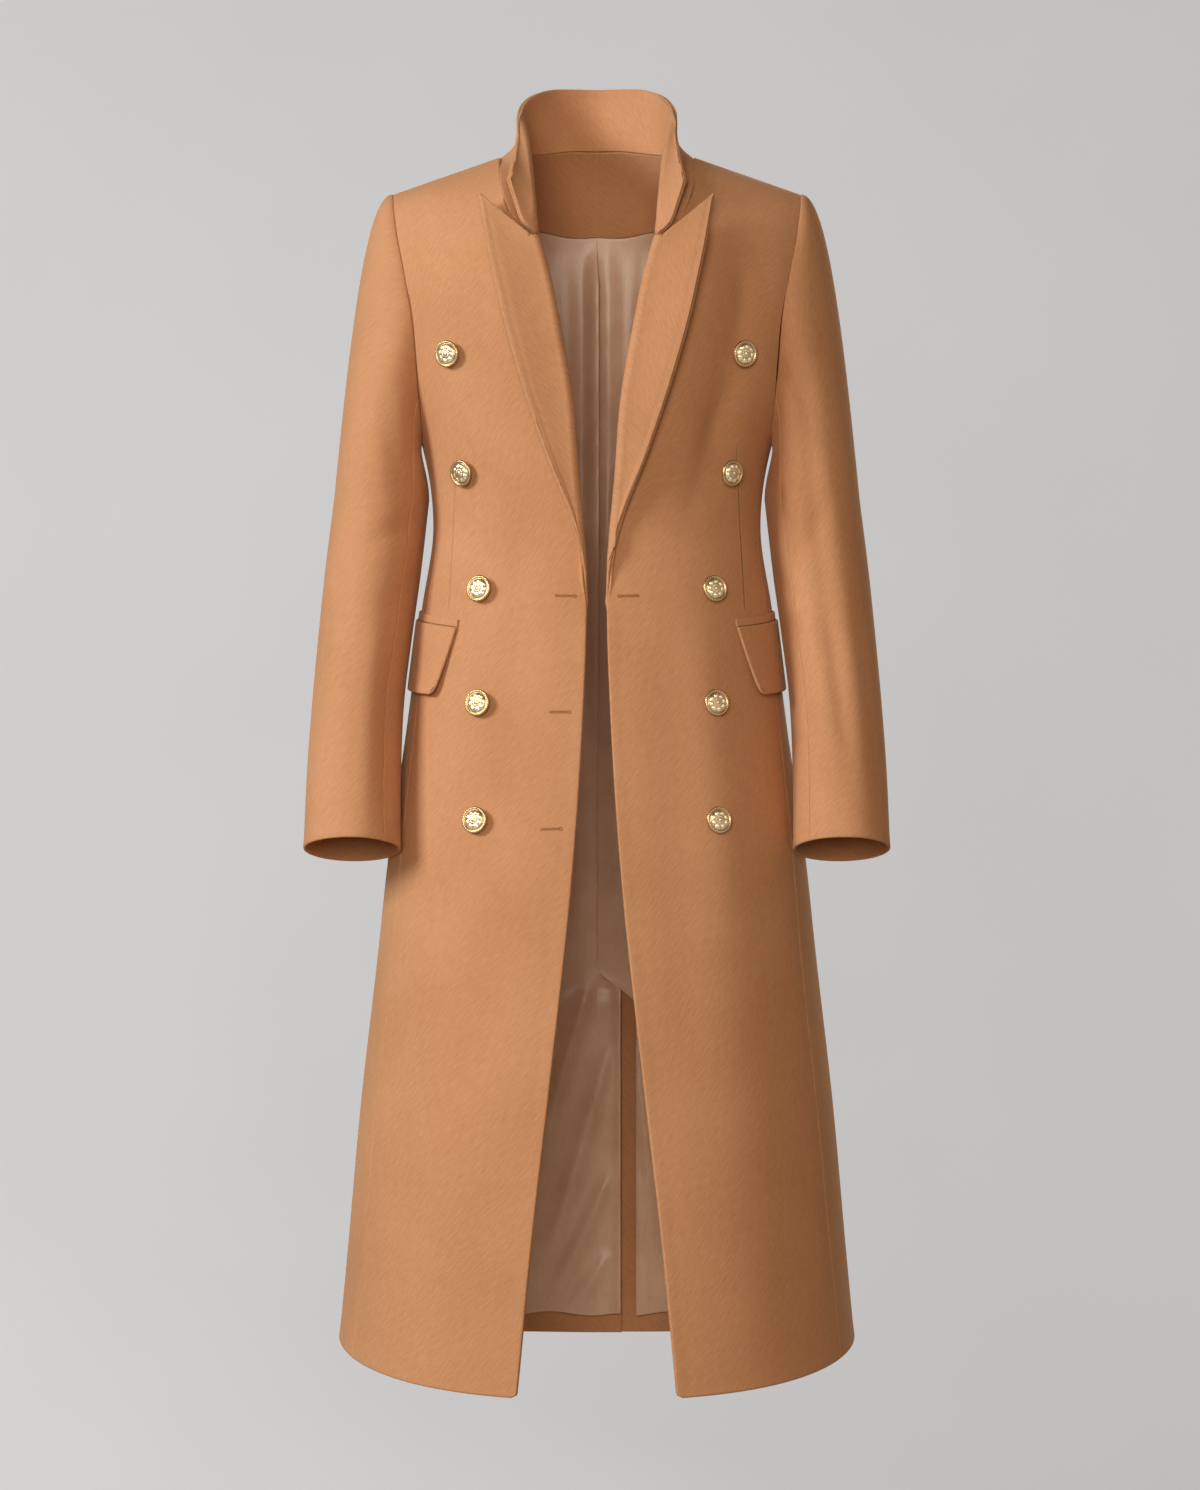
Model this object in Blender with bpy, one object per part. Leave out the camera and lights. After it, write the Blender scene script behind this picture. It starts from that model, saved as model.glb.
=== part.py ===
"""A double-breasted maxi coat of wool coating, open at the front and hollow.

Frame: metres, +Z up, the fronts face -Y, the wearer's left is +X. The origin lies between
the two shoulder-neck points, where the wearer holds the coat up. Sizes below are in
millimetres. "Out" means the distance from the centre plane, so one table serves both
sides. Angles run round the body: -90 degrees at the centre front, 0 at the side, +90 at
the centre back.
"""
import math

import bmesh
import bpy
import numpy as np

MM = 0.001

# Cloth and making up
WOOL = 2.4                # thickness of the coating
SATIN = 1.0               # thickness of the lining
SEAM_GAP = 0.4            # space between two pieces at a seam
PLY_GAP = 0.35            # space between two cloths that lie on each other
LINING_DEPTH = 5.7        # how far the lining hangs inside the coating's outer surface
FACING_WIDTH = 90.0       # front facing, from the front edge
ROLL_RADIUS = 2.0         # inside of the lapel's roll
ROLL_WIDTH = 8.0          # lapel width at which the roll is a full half turn
LAPEL_LIFT = 5.0          # extra height of the lapel's outer edge

# Levels
HEM_SIDE = -1138.0
HEM_CENTRE_FRONT = -1169.0
HEM_CENTRE_BACK = -1163.0
HEM_EASE = 0.2            # how gently the hem turns down from the side
HEM_EVENS_OUT = -820.0    # above this height the rows are level
BREAK = -440.0            # where the lapel begins to turn
UNDERARM = -275.0
GORGE = -89.5             # height at which the roll line meets the collar
PEAK = -54.0              # height of the lapel's point
VENT_TOP = -812.0
VENT_OPEN = -820.0
UNDERLAP = 25.0           # how far the right back runs past the centre back
LINING_CLEARS_VENT = 40.0
LINING_HEM_UP = 28.0      # how much shorter the lining is

ROUNDNESS = 2.3           # exponent of the body's rounded sections
ARCH = 140.0              # drop over which the shoulder turns into the chest


def columns(names, rows):
    """Turn rows of numbers into a dictionary of named columns."""
    return dict(zip(names.split(), np.array(rows, dtype=float).T))


# Horizontal sections of the coat's outer surface
BODY = columns("height half_width front back", (
    (-1180.0, 253.0, 204.0, 183.0),
    (-1060.0, 241.5, 196.0, 176.0),
    (-910.0, 228.0, 184.0, 165.0),
    (-765.0, 211.5, 168.0, 151.0),
    (-680.0, 202.5, 156.0, 142.0),
    (-545.0, 183.5, 136.0, 124.0),
    (-435.0, 169.5, 121.0, 106.0),
    (-355.0, 158.5, 113.0, 95.0),
    (-275.0, 170.0, 121.0, 101.0),
    (-220.0, 190.0, 124.0, 110.0),
    (-150.0, 212.0, 122.0, 118.0),
    (-60.0, 226.0, 112.0, 116.0),
    (70.0, 232.0, 100.0, 108.0)))

# The shoulder's ridge, and its run on over the neck
RIDGE = columns("out height", (
    (0.0, 62.0), (50.0, 42.0), (86.0, 8.0), (92.5, 2.5), (94.0, 2.0), (96.0, 1.3),
    (197.0, -33.5), (240.0, -48.3)))

# Side seam, which lies in front of the side
SIDE_SEAM = columns("height angle", (
    (-1180.0, -24.0), (-680.0, -24.0), (-545.0, -20.0),
    (-355.0, -15.0), (-275.0, -9.5), (-200.0, -9.5)))

# Front edge up to the break, then the roll line up to the gorge
FRONT_LINE = columns("height out", (
    (-1180.0, 75.0), (-1015.0, 59.0), (-877.0, 43.0), (-674.0, 21.5), (-544.0, 13.0),
    (-440.0, 9.5), (-383.0, 10.4), (-318.0, 16.0), (-242.0, 22.0), (-177.0, 33.0),
    (-125.0, 43.3), (-89.5, 53.0)))

# Outer edge of the lapel, from the break to its point
LAPEL_EDGE = columns("height out", (
    (-440.0, 9.5), (-407.0, 13.1), (-353.0, 25.3), (-290.0, 48.0),
    (-238.0, 65.0), (-156.0, 87.7), (-54.0, 107.0)))

# Front neckline from the gorge to the shoulder seam
NECK_FRONT = columns("out height", (
    (80.0, -66.0), (91.0, -35.0), (93.5, -12.0), (94.0, 2.0)))

# Back neckline from the shoulder seam to the centre back
NECK_BACK = columns("out height", (
    (94.0, 2.0), (82.0, 9.5), (65.0, 14.5), (44.0, 19.0), (22.0, 21.5), (0.0, 22.0)))

# Armhole from the underarm to the shoulder point
ARMHOLE = columns("height front_out back_out", (
    (-262.0, 168.0, 172.0),
    (-236.0, 170.0, 176.5),
    (-200.0, 172.5, 180.0),
    (-160.0, 176.0, 183.0),
    (-118.0, 183.5, 187.0),
    (-80.0, 191.0, 192.0),
    (-50.0, 195.5, 195.5),
    (-33.5, 197.0, 197.0)))

# Rings of the sleeve below the underarm: centre, half sizes and forward tilt
SLEEVE = columns("height out back half_width half_depth tilt", (
    (-666.0, 232.0, -86.0, 46.0, 50.0, 15.0),
    (-590.0, 231.5, -62.0, 44.7, 53.5, 12.0),
    (-520.0, 228.5, -40.0, 44.0, 57.0, 8.0),
    (-465.0, 223.5, -24.0, 45.0, 60.0, 4.0),
    (-400.0, 216.5, -10.0, 46.3, 64.0, 1.0),
    (-330.0, 208.5, -4.0, 46.0, 67.0, 0.0)))
SLEEVE_CAP_STEPS = (0.0, 0.1, 0.25, 0.45, 0.7, 1.0)
FRONT_SLEEVE_SEAM = 2     # columns from the underarm to the seam, on the front
BACK_SLEEVE_SEAM = 6      # and on the back

# Collar on one side, from the gorge to the centre back: fold, outer edge, how far the curve
# runs straight on at the fold, and the seam's distance from the neckline
COLLAR = columns("fold_out fold_back fold_height edge_out edge_back edge_height firmness off", (
    (59.5, -101.5, -86.0, 86.0, -84.0, -31.0, 24.0, 3.0),
    (61.5, -91.0, -63.0, 83.5, -68.0, -18.0, 24.0, 3.0),
    (64.5, -73.0, -38.0, 81.0, -45.0, 0.0, 24.0, 3.0),
    (67.5, -48.0, -9.0, 77.5, -22.0, 18.0, 24.0, 2.6),
    (71.5, -17.0, 18.0, 77.5, 1.0, 38.0, 26.0, 1.2),
    (76.0, 20.0, 33.0, 76.5, 20.0, 54.0, 30.0, 0.8),
    (65.5, 47.0, 43.0, 68.0, 44.0, 68.5, 32.0, 0.8),
    (46.5, 65.0, 49.0, 51.0, 66.5, 78.0, 34.0, 0.8),
    (23.5, 76.5, 52.0, 26.5, 80.5, 80.7, 34.0, 0.8),
    (0.0, 82.0, 52.0, 0.0, 86.5, 81.0, 34.0, 0.8)))
# Front edge of the collar: from the gorge to the notch, then up to the collar's point
COLLAR_FRONT = columns("out back height", (
    (59.5, -101.5, -86.0), (71.5, -104.0, -74.5), (79.5, -95.0, -52.0), (86.0, -84.0, -31.0)))
COLLAR_STEPS = (0.0, 0.4, 0.75, 1.0)

# Rows of the panels: below the underarm by height, above it by share of each edge
LOW_ROWS = (HEM_SIDE, -1000.0, VENT_OPEN, VENT_TOP, -685.0, -585.0, -510.0,
            BREAK, -410.0, -375.0, -340.0, -308.0, UNDERARM)
ROLL_ROWS = (-228.0, -182.0, -135.0, GORGE)
LINING_SKIPS = (-585.0,)   # rows that a lining does without
FRONT_STEPS = 6           # columns from the side to the facing's inner edge
FACING_STEPS = 3          # columns over the facing
SHOULDER_STEPS = 4        # back columns under the shoulder seam
NECK_FACED_STEPS = 2      # of those, the ones that the neck facing reaches over
NECK_FACING_ROWS = 2
NECK_FACING_LOW = -60.0   # lower edge of the back neck facing at the centre back
SHOULDER_POINT = 197.0    # outer end of the shoulder seam
FACING_ON_SHOULDER = 145.5
NECK_POINT = 94.0         # inner end of the shoulder seam

# Flap pocket, as angles round the side and heights: front corner, then rear corner
FLAP = columns("top_angle top_height bottom_angle bottom_height", (
    (-43.0, -456.0, -36.0, -521.0),
    (0.0, -445.0, 0.0, -513.0),
    (24.0, -441.0, 22.0, -508.0)))
FLAP_THICK = 3.2
FLAP_OFF = 1.1
FLAP_LIFT = 5.0           # how far the flap's front corner stands off
FLAP_STEPS = 6
JET_HEIGHT = 8.0
JET_THICK = 1.8

# Buttons of one front, by place on the front
BUTTONS = columns("out height", (
    (139.0, -197.0), (125.5, -308.5), (109.0, -420.0), (110.0, -528.0), (112.0, -638.0)))
BUTTON_SIDES = 12
# Turned profile of a button: radius, and height over the cloth
BUTTON_PROFILE = ((3.5, 0.5), (3.5, 4.0), (11.6, 4.6), (12.6, 5.6), (11.4, 7.2), (6.5, 9.0))

SIDES = (("right", -1.0), ("left", 1.0))


def curve(knots, values, at):
    """Read a smooth cubic through (knots, values), with slopes taken from its neighbours."""
    slopes = np.gradient(values, knots)
    at = np.clip(at, knots[0], knots[-1])
    low = np.clip(np.searchsorted(knots, at) - 1, 0, len(knots) - 2)
    width = knots[low + 1] - knots[low]
    t = (at - knots[low]) / width
    rise = (3.0 - 2.0 * t) * t * t
    ease_in = t * (1.0 - t) ** 2 * width * slopes[low]
    ease_out = t * t * (t - 1.0) * width * slopes[low + 1]
    return values[low] * (1.0 - rise) + values[low + 1] * rise + ease_in + ease_out


def read(table, column, at):
    """Read one column of a table along its first column."""
    return curve(next(iter(table.values())), table[column], np.asarray(at, dtype=float))


def ridge(out):
    """Height of the shoulder's ridge over a distance from the centre."""
    return read(RIDGE, "height", np.abs(out))


def body(angle, height):
    """The coat's outer surface: rounded sections, their depth arched over the shoulder."""
    angle, height = np.broadcast_arrays(np.radians(angle), np.asarray(height, dtype=float))
    across, along = np.cos(angle), np.sin(angle)
    power = 2.0 / ROUNDNESS
    x = read(BODY, "half_width", height) * np.sign(across) * np.abs(across) ** power
    depth = np.where(along < 0.0, read(BODY, "front", height), read(BODY, "back", height))
    drop = np.clip((ridge(x) - height) / ARCH, 0.0, 1.0)
    arch = np.sqrt(np.maximum(1.0 - (1.0 - drop) ** 2, 0.0))
    y = depth * np.sign(along) * np.abs(along) ** power * arch
    return np.stack([x, y, height], axis=-1)


def angle_of(out, height, side=-1.0):
    """Angle at which the section has a distance from the centre: side -1 front, +1 back."""
    share = np.clip(np.asarray(out) / read(BODY, "half_width", height), 0.0, 1.0)
    return side * np.degrees(np.arccos(share ** (ROUNDNESS / 2.0)))


def normals(surface, first, second, step=0.5):
    """Unit normals of a surface of two parameters, by small steps along both."""
    along_first = surface(first + step, second) - surface(first - step, second)
    along_second = surface(first, second + step) - surface(first, second - step)
    normal = np.cross(along_first, along_second)
    return normal / np.linalg.norm(normal, axis=-1, keepdims=True)


def front_at(out, height):
    """Point of the front's outer surface at a place seen from the front."""
    return body(angle_of(out, height), height)


def moved_out(angle, height, distance):
    """Points of the body's surface, moved out from it by a distance."""
    distance = np.asarray(distance, dtype=float)[..., None]
    return body(angle, height) + normals(body, angle, height) * distance


def hem_height(angle):
    """Height of the hem round the body: lowest at the centre front and centre back."""
    centre = np.where(np.asarray(angle) < 0.0, HEM_CENTRE_FRONT, HEM_CENTRE_BACK)
    away = np.sqrt(np.sin(np.radians(angle)) ** 2 + HEM_EASE ** 2) - HEM_EASE
    return HEM_SIDE + (centre - HEM_SIDE) * away / (math.hypot(1.0, HEM_EASE) - HEM_EASE)


def row_height(row, angle):
    """Height of a panel's row: it follows the hem and evens out above it."""
    share = np.clip((HEM_EVENS_OUT - row) / (HEM_EVENS_OUT - HEM_SIDE), 0.0, 1.0)
    return row + (hem_height(angle) - HEM_SIDE) * share ** 2


def shared(start, end, steps):
    """Evenly spaced values between two ends, for whole columns of ends at once."""
    t = np.linspace(0.0, 1.0, steps + 1)
    return np.outer(start, 1.0 - t) + np.outer(end, t)


def lapel_width(roll_height):
    """How wide the folded lapel looks at each height of the roll line."""
    return np.maximum(lapel_edge(roll_height)[0] - read(FRONT_LINE, "out", roll_height), 0.0)


def lapel_edge(roll_height):
    """Out and height of the lapel's outer edge that faces a height of the roll line."""
    height = roll_height + (PEAK - GORGE) * (roll_height - BREAK) / (GORGE - BREAK)
    return read(LAPEL_EDGE, "out", height), height


def roll_turn(roll_height):
    """Angle in radians through which the cloth turns at the roll line."""
    return math.pi * np.clip(lapel_width(roll_height) / ROLL_WIDTH, 0.0, 1.0)


def cloth_edge(height):
    """Out of the shell's front edge or fold, which lies inside the plies that wrap it."""
    plies = 2.0 * WOOL + PLY_GAP + ROLL_RADIUS
    return read(FRONT_LINE, "out", height) + plies * np.sin(np.minimum(roll_turn(height),
                                                                      math.pi / 2.0))


def place(angle, root_drop):
    """Body points from angles and the square root of the drop below the ridge."""
    height = np.full(np.shape(angle), -150.0)
    for _ in range(12):
        height = ridge(body(angle, height)[..., 0]) - root_drop ** 2
    return body(angle, height)


def root_drop(angle, height):
    """Square root of the drop below the ridge, the second coordinate of upper patches."""
    return np.sqrt(np.maximum(ridge(body(angle, height)[..., 0]) - height, 0.0))


def edge_line(angle, height):
    """An edge as pairs of angle and root of drop."""
    angle, height = np.broadcast_arrays(np.asarray(angle, dtype=float), height)
    return np.stack([angle, root_drop(angle, height)], axis=-1)


def coons(bottom, top, left, right):
    """Fill four edge curves: the sum of both rulings less the bilinear one."""
    u = np.linspace(0.0, 1.0, len(bottom))[None, :, None]
    v = np.linspace(0.0, 1.0, len(left))[:, None, None]
    ruled_up = (1.0 - v) * bottom[None] + v * top[None]
    ruled_across = (1.0 - u) * left[:, None] + u * right[:, None]
    low = (1.0 - u) * bottom[0] + u * bottom[-1]
    high = (1.0 - u) * top[0] + u * top[-1]
    return ruled_up + ruled_across - (1.0 - v) * low - v * high


def on_shoulder(out, side):
    """Edge pairs along the shoulder seam, which runs on the ridge."""
    out = np.asarray(out, dtype=float)
    return np.stack([angle_of(out, ridge(out), side), np.zeros(len(out))], axis=-1)


def armhole_line(side):
    """Edge pairs of the armhole, from the underarm up: side -1 front, +1 back."""
    out = ARMHOLE["front_out"] if side < 0.0 else ARMHOLE["back_out"]
    angle = angle_of(out, ARMHOLE["height"], side)
    line = edge_line(angle, ARMHOLE["height"])
    line[-1, 1] = 0.0
    start = edge_line(read(SIDE_SEAM, "angle", UNDERARM), UNDERARM)
    return np.vstack([start, line])


def low_angles(rows, part):
    """Angles of a panel's columns below the underarm, one line for each row."""
    rows = np.asarray(rows, dtype=float)
    side = read(SIDE_SEAM, "angle", rows)
    if part == "back":
        return shared(side, np.full(len(rows), 90.0), SHOULDER_STEPS + len(NECK_BACK["out"]) - 1)
    height = row_height(rows, -90.0)
    edge = cloth_edge(height)
    inner = angle_of(edge + FACING_WIDTH, height)
    free = shared(side, inner, FRONT_STEPS)
    faced = shared(inner, angle_of(edge, height), FACING_STEPS)
    return np.hstack([free, faced[:, 1:]])


def front_grid():
    """The front from hem to shoulder seam and from side to front edge or fold."""
    rows = np.array(LOW_ROWS)
    angles = low_angles(rows, "front")
    low = body(angles, row_height(rows[:, None], angles))
    roll = np.array(ROLL_ROWS)
    roll_line = edge_line(angle_of(cloth_edge(roll), roll), roll)
    neck_angles = angle_of(NECK_FRONT["out"], NECK_FRONT["height"])
    neck = edge_line(neck_angles, NECK_FRONT["height"])
    neck[-1, 1] = 0.0
    bottom = edge_line(angles[-1], UNDERARM)
    outs = np.append(np.linspace(SHOULDER_POINT, FACING_ON_SHOULDER, FRONT_STEPS + 1),
                     np.linspace(FACING_ON_SHOULDER, NECK_POINT, FACING_STEPS + 1)[1:])
    top = on_shoulder(outs, -1.0)
    pairs = coons(bottom, top, armhole_line(-1.0), np.vstack([bottom[-1:], roll_line, neck]))
    high = place(pairs[..., 0], pairs[..., 1])
    return np.vstack([low, high[1:]])


def lapel_rows():
    """Heights of the roll line's rows from the break to the gorge."""
    return np.array([row for row in LOW_ROWS if row >= BREAK] + list(ROLL_ROWS))


def lapel_grid(turn_steps=4, flat_steps=4):
    """The cloth past the fold: round the roll, then back over the front, a little lifted."""
    heights = lapel_rows()[:, None]
    start = cloth_edge(heights)
    base = front_at(start, heights)
    normal = normals(front_at, start, heights)
    level = np.cross(normal, (0.0, 0.0, 1.0))
    forward = level / np.linalg.norm(level, axis=-1, keepdims=True)
    forward = forward * np.where(forward[..., :1] > 0.0, -1.0, 1.0)
    turned = (roll_turn(heights) * np.linspace(0.0, 1.0, turn_steps + 1))[..., None]
    centre = base + ROLL_RADIUS * normal
    roll = centre + ROLL_RADIUS * (forward * np.sin(turned) - normal * np.cos(turned))
    share = np.linspace(0.0, 1.0, flat_steps + 1)[None, 1:]
    edge_out, edge_height = lapel_edge(heights)
    out = start + (edge_out - start) * share
    height = heights + (edge_height - heights) * share
    lift = 2.0 * ROLL_RADIUS + LAPEL_LIFT * share ** 2 + 0.0 * height
    flat = front_at(out, height) + normals(front_at, out, height) * lift[..., None]
    rolled_only = (roll_turn(heights) < math.pi)[..., None]
    flat = np.where(rolled_only, roll[:, -1:], flat)
    return np.hstack([roll, flat])


def back_grid(side_name):
    """The back from hem to shoulder seam and neckline, and from side to centre back."""
    rows = np.array(LOW_ROWS)
    angles = low_angles(rows, "back")
    low = body(angles, row_height(rows[:, None], angles))
    if side_name == "right":
        low[rows <= VENT_OPEN, -1, 1] -= underlap_depth()
    bottom = edge_line(angles[-1], UNDERARM)
    shoulder = on_shoulder(np.linspace(SHOULDER_POINT, NECK_POINT, SHOULDER_STEPS + 1), 1.0)
    neck = edge_line(angle_of(NECK_BACK["out"], NECK_BACK["height"], 1.0), NECK_BACK["height"])
    top = np.vstack([shoulder, neck[1:]])
    left = armhole_line(1.0)
    below = np.linspace(UNDERARM, NECK_FACING_LOW, len(left) - NECK_FACING_ROWS)
    faced = np.linspace(NECK_FACING_LOW, NECK_BACK["height"][-1], NECK_FACING_ROWS + 1)
    right = edge_line(90.0, np.append(below, faced[1:]))
    pairs = coons(bottom, top, left, right)
    return np.vstack([low, place(pairs[..., 0], pairs[..., 1])[1:]])


def underlap_depth():
    """How far the vent's underlap lies inside the overlap."""
    return WOOL + 1.6


def underlap_grid(reach):
    """The vent's underlap, past the centre back on the right back panel."""
    rows = np.array([row for row in LOW_ROWS if row <= VENT_OPEN])[:, None]
    height = row_height(rows, 90.0)
    out = np.linspace(0.0, reach, 3)[None, :]
    grid = body(180.0 - angle_of(out, height, 1.0), height + 0.0 * out)
    grid[:, 0] = body(np.full(len(rows), 90.0), height[:, 0])
    grid[..., 1] -= underlap_depth()
    return grid


def sheet(patches):
    """Join patches that share edges: all points, and faces that turn the same way."""
    points, faces, index_of = [], [], {}
    for patch in patches:
        rows, cols = patch.shape[:2]
        ids = np.empty((rows, cols), dtype=int)
        for place_in_patch in np.ndindex(rows, cols):
            key = key_of(patch[place_in_patch])
            if key not in index_of:
                index_of[key] = len(points)
                points.append(patch[place_in_patch])
            ids[place_in_patch] = index_of[key]
        for row, col in np.ndindex(rows - 1, cols - 1):
            corners = (ids[row, col], ids[row, col + 1],
                       ids[row + 1, col + 1], ids[row + 1, col])
            face = [one for at, one in enumerate(corners) if one != corners[at - 1]]
            if len(set(face)) >= 3:
                faces.append(face)
    return np.array(points), faces


def open_edges(faces):
    """Edges that only one face uses, each in its face's direction."""
    edges = {}
    for face in faces:
        for start, end in zip(face, face[1:] + face[:1]):
            edges[(start, end)] = edges.get((start, end), 0) + 1
    return [edge for edge in edges if (edge[1], edge[0]) not in edges]


def point_normals(points, faces):
    """Unit normals at the points, from the faces round each."""
    normal = np.zeros_like(points)
    for face in faces:
        corners = points[face]
        area = np.cross(corners[1] - corners[0], corners[-1] - corners[0])
        if len(face) == 4:
            area = area + np.cross(corners[3] - corners[2], corners[1] - corners[2])
        normal[face] += area
    return normal / np.linalg.norm(normal, axis=1, keepdims=True)


def drawn_in(points, edges, normal):
    """Points with the open edges drawn in by half a seam gap, along the cloth."""
    inward = np.zeros_like(points)
    first = {}
    for start, end in edges:
        run = points[end] - points[start]
        for one in (start, end):
            way = np.cross(normal[one], run)
            way = way / np.linalg.norm(way)
            inward[one] += way
            first.setdefault(one, way)
    moved = points.copy()
    for one, way in first.items():
        mean = inward[one] / np.linalg.norm(inward[one])
        stretch = 1.0 / max(float(mean @ way), 0.5)
        moved[one] += 0.5 * SEAM_GAP * stretch * mean
    return moved


def triangles(points, faces):
    """Faces cut into triangles, each quad along its shorter diagonal."""
    cut = []
    for face in faces:
        if len(face) == 4:
            spans = [np.linalg.norm(points[face[at]] - points[face[at + 2]]) for at in (0, 1)]
            face = face if spans[0] <= spans[1] + 0.001 else face[1:] + face[:1]
            cut += [face[:3], [face[2], face[3], face[0]]]
        else:
            cut.append(face)
    return cut


def key_of(point):
    """A point's place to the nearest micrometre, under which shared points are found."""
    return tuple(np.round(point, 3) + 0.0)


def normal_book(patches):
    """Normals that neighbouring pieces share at their seams, by place."""
    points, faces = sheet(patches)
    normal = point_normals(points, faces)
    on_ridge = (np.abs(points[:, 1]) < 0.01) & (points[:, 2] > ARMHOLE["height"][-2])
    slope = (ridge(SHOULDER_POINT) - ridge(FACING_ON_SHOULDER)) / (
        SHOULDER_POINT - FACING_ON_SHOULDER)
    square = np.array((-slope, 0.0, 1.0)) / math.hypot(slope, 1.0)
    normal[on_ridge] = square * np.stack([np.sign(points[on_ridge, 0])] + 2 * [
        np.ones(on_ridge.sum())], axis=-1)
    return {key_of(point): one for point, one in zip(points, normal)}


def wall(name, patches, near, far, material, side=1.0, book=None):
    """A closed cloth wall between two depths under the surface that the patches describe."""
    points, faces = sheet(patches)
    normal = point_normals(points, faces)
    for index, point in enumerate(points):
        normal[index] = (book or {}).get(key_of(point), normal[index])
    edges = open_edges(faces)
    faces = triangles(points, faces)
    points = drawn_in(points, edges, normal)
    count = len(points)
    both = np.vstack([points - near * normal, points - far * normal])
    skins = list(faces) + [[one + count for one in reversed(face)] for face in faces]
    skins += [[end, start, start + count, end + count] for start, end in edges]
    add_mesh(name, both * (side, 1.0, 1.0), skins, material)


def add_mesh(name, points, faces, material):
    """Make one closed, triangulated object in metres, with its faces out."""
    mesh = bpy.data.meshes.new(name)
    mesh.from_pydata((points * MM).tolist(), [], [list(map(int, face)) for face in faces])
    bm = bmesh.new()
    bm.from_mesh(mesh)
    bmesh.ops.triangulate(bm, faces=bm.faces[:])
    bmesh.ops.recalc_face_normals(bm, faces=bm.faces[:])
    bm.to_mesh(mesh)
    bm.free()
    mesh.materials.append(material)
    piece = bpy.data.objects.new(name, mesh)
    bpy.context.scene.collection.objects.link(piece)


def linear(hex_colour):
    """sRGB hex to linear colour with alpha."""
    parts = [int(hex_colour[at:at + 2], 16) / 255.0 for at in (0, 2, 4)]
    return [c / 12.92 if c <= 0.04045 else ((c + 0.055) / 1.055) ** 2.4 for c in parts] + [1.0]


def make_material(name, hex_colour, roughness, metallic=0.0):
    """A Principled material."""
    material = bpy.data.materials.new(name)
    material.use_nodes = True
    shader = material.node_tree.nodes["Principled BSDF"]
    shader.inputs["Base Color"].default_value = linear(hex_colour)
    shader.inputs["Roughness"].default_value = roughness
    shader.inputs["Metallic"].default_value = metallic
    return material


def mirrored(grid):
    """A grid of one side as it lies on the other, still facing out."""
    return (grid * (-1.0, 1.0, 1.0))[:, ::-1]


def body_grids():
    """The grids of the fronts, lapels and backs, and the normals they share."""
    front, lapel = front_grid()[:, ::-1], lapel_grid()[:, ::-1]
    first = LOW_ROWS.index(BREAK)
    lapel[:, -1] = front[first:first + len(lapel), 0]
    grids = {"front": front, "lapel": lapel}
    for name, _ in SIDES:
        grids["back_" + name] = back_grid(name)
    plain = grids["back_left"]
    book = normal_book([front, lapel, plain, mirrored(plain)])
    return grids, book


def make_fronts(grids, book, wool):
    """Fronts with the lapel's underside, and facings with the lapel's face."""
    inner = WOOL + PLY_GAP
    faced = grids["front"][:, :FACING_STEPS + 1]
    for name, side in SIDES:
        wall(f"front_{name}", [grids["front"], grids["lapel"]], 0.0, WOOL, wool, side, book)
        wall(f"facing_{name}", [faced, grids["lapel"]], inner, inner + WOOL, wool, side, book)


def make_backs(grids, book, wool):
    """Backs with the vent, of which the right one carries the underlap, and neck facing."""
    for name, side in SIDES:
        patches = [grids["back_" + name]]
        if name == "right":
            patches.append(underlap_grid(UNDERLAP))
        wall(f"back_{name}", patches, 0.0, WOOL, wool, side, book)
    corner = grids["back_left"][-NECK_FACING_ROWS - 1:, NECK_FACED_STEPS:]
    both = np.hstack([corner, mirrored(corner)[:, 1:]])
    inner = WOOL + PLY_GAP
    wall("back_neck_facing", [both], inner, inner + WOOL, wool, 1.0, book)


def collar_grid():
    """One side of the collar: stand from neckline to fold, then the fall to the edge."""
    neck_angles = angle_of(NECK_FRONT["out"], NECK_FRONT["height"])
    front = place(neck_angles, root_drop(neck_angles, NECK_FRONT["height"]))
    back_angles = angle_of(NECK_BACK["out"], NECK_BACK["height"], 1.0)[1:]
    back = place(back_angles, root_drop(back_angles, NECK_BACK["height"][1:]))
    fold = np.stack([COLLAR["fold_out"], COLLAR["fold_back"], COLLAR["fold_height"]], axis=-1)
    edge = np.stack([COLLAR["edge_out"], COLLAR["edge_back"], COLLAR["edge_height"]], axis=-1)
    base = np.vstack([fold[:1], front, back])
    rise = fold[1:] - base[1:]
    base[1:] += rise / np.linalg.norm(rise, axis=1, keepdims=True) * COLLAR["off"][1:, None]
    way = edge - base
    way = way / np.linalg.norm(way, axis=1, keepdims=True) * COLLAR["firmness"][:, None]
    t = np.array(COLLAR_STEPS)
    stand = hermite(base, fold - base, fold, way, t)
    fall = hermite(fold, way, edge, edge - fold, 1.0 - t[::-1])
    stand[0] = fold[0]
    fall[0] = np.stack([COLLAR_FRONT["out"], COLLAR_FRONT["back"], COLLAR_FRONT["height"]],
                       axis=-1)
    return np.hstack([stand, fall[:, 1:]])


def hermite(start, start_way, end, end_way, t):
    """Cubic curves from start to end, which leave and arrive along the given ways."""
    t = t[None, :, None]
    start, start_way, end, end_way = (one[:, None] for one in (start, start_way, end, end_way))
    rise = (3.0 - 2.0 * t) * t * t
    curved = t * (1.0 - t) ** 2 * start_way + t * t * (t - 1.0) * end_way
    return start * (1.0 - rise) + end * rise + curved


def make_collar(wool):
    """Under collar, and the upper collar on the neck's side of it."""
    grid = collar_grid()
    both = np.vstack([grid, (grid * (-1.0, 1.0, 1.0))[-2::-1]])
    inner = WOOL + PLY_GAP
    wall("under_collar", [both[:, ::-1]], 0.0, WOOL, wool)
    wall("collar", [both[:, ::-1]], inner, inner + WOOL, wool)


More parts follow.
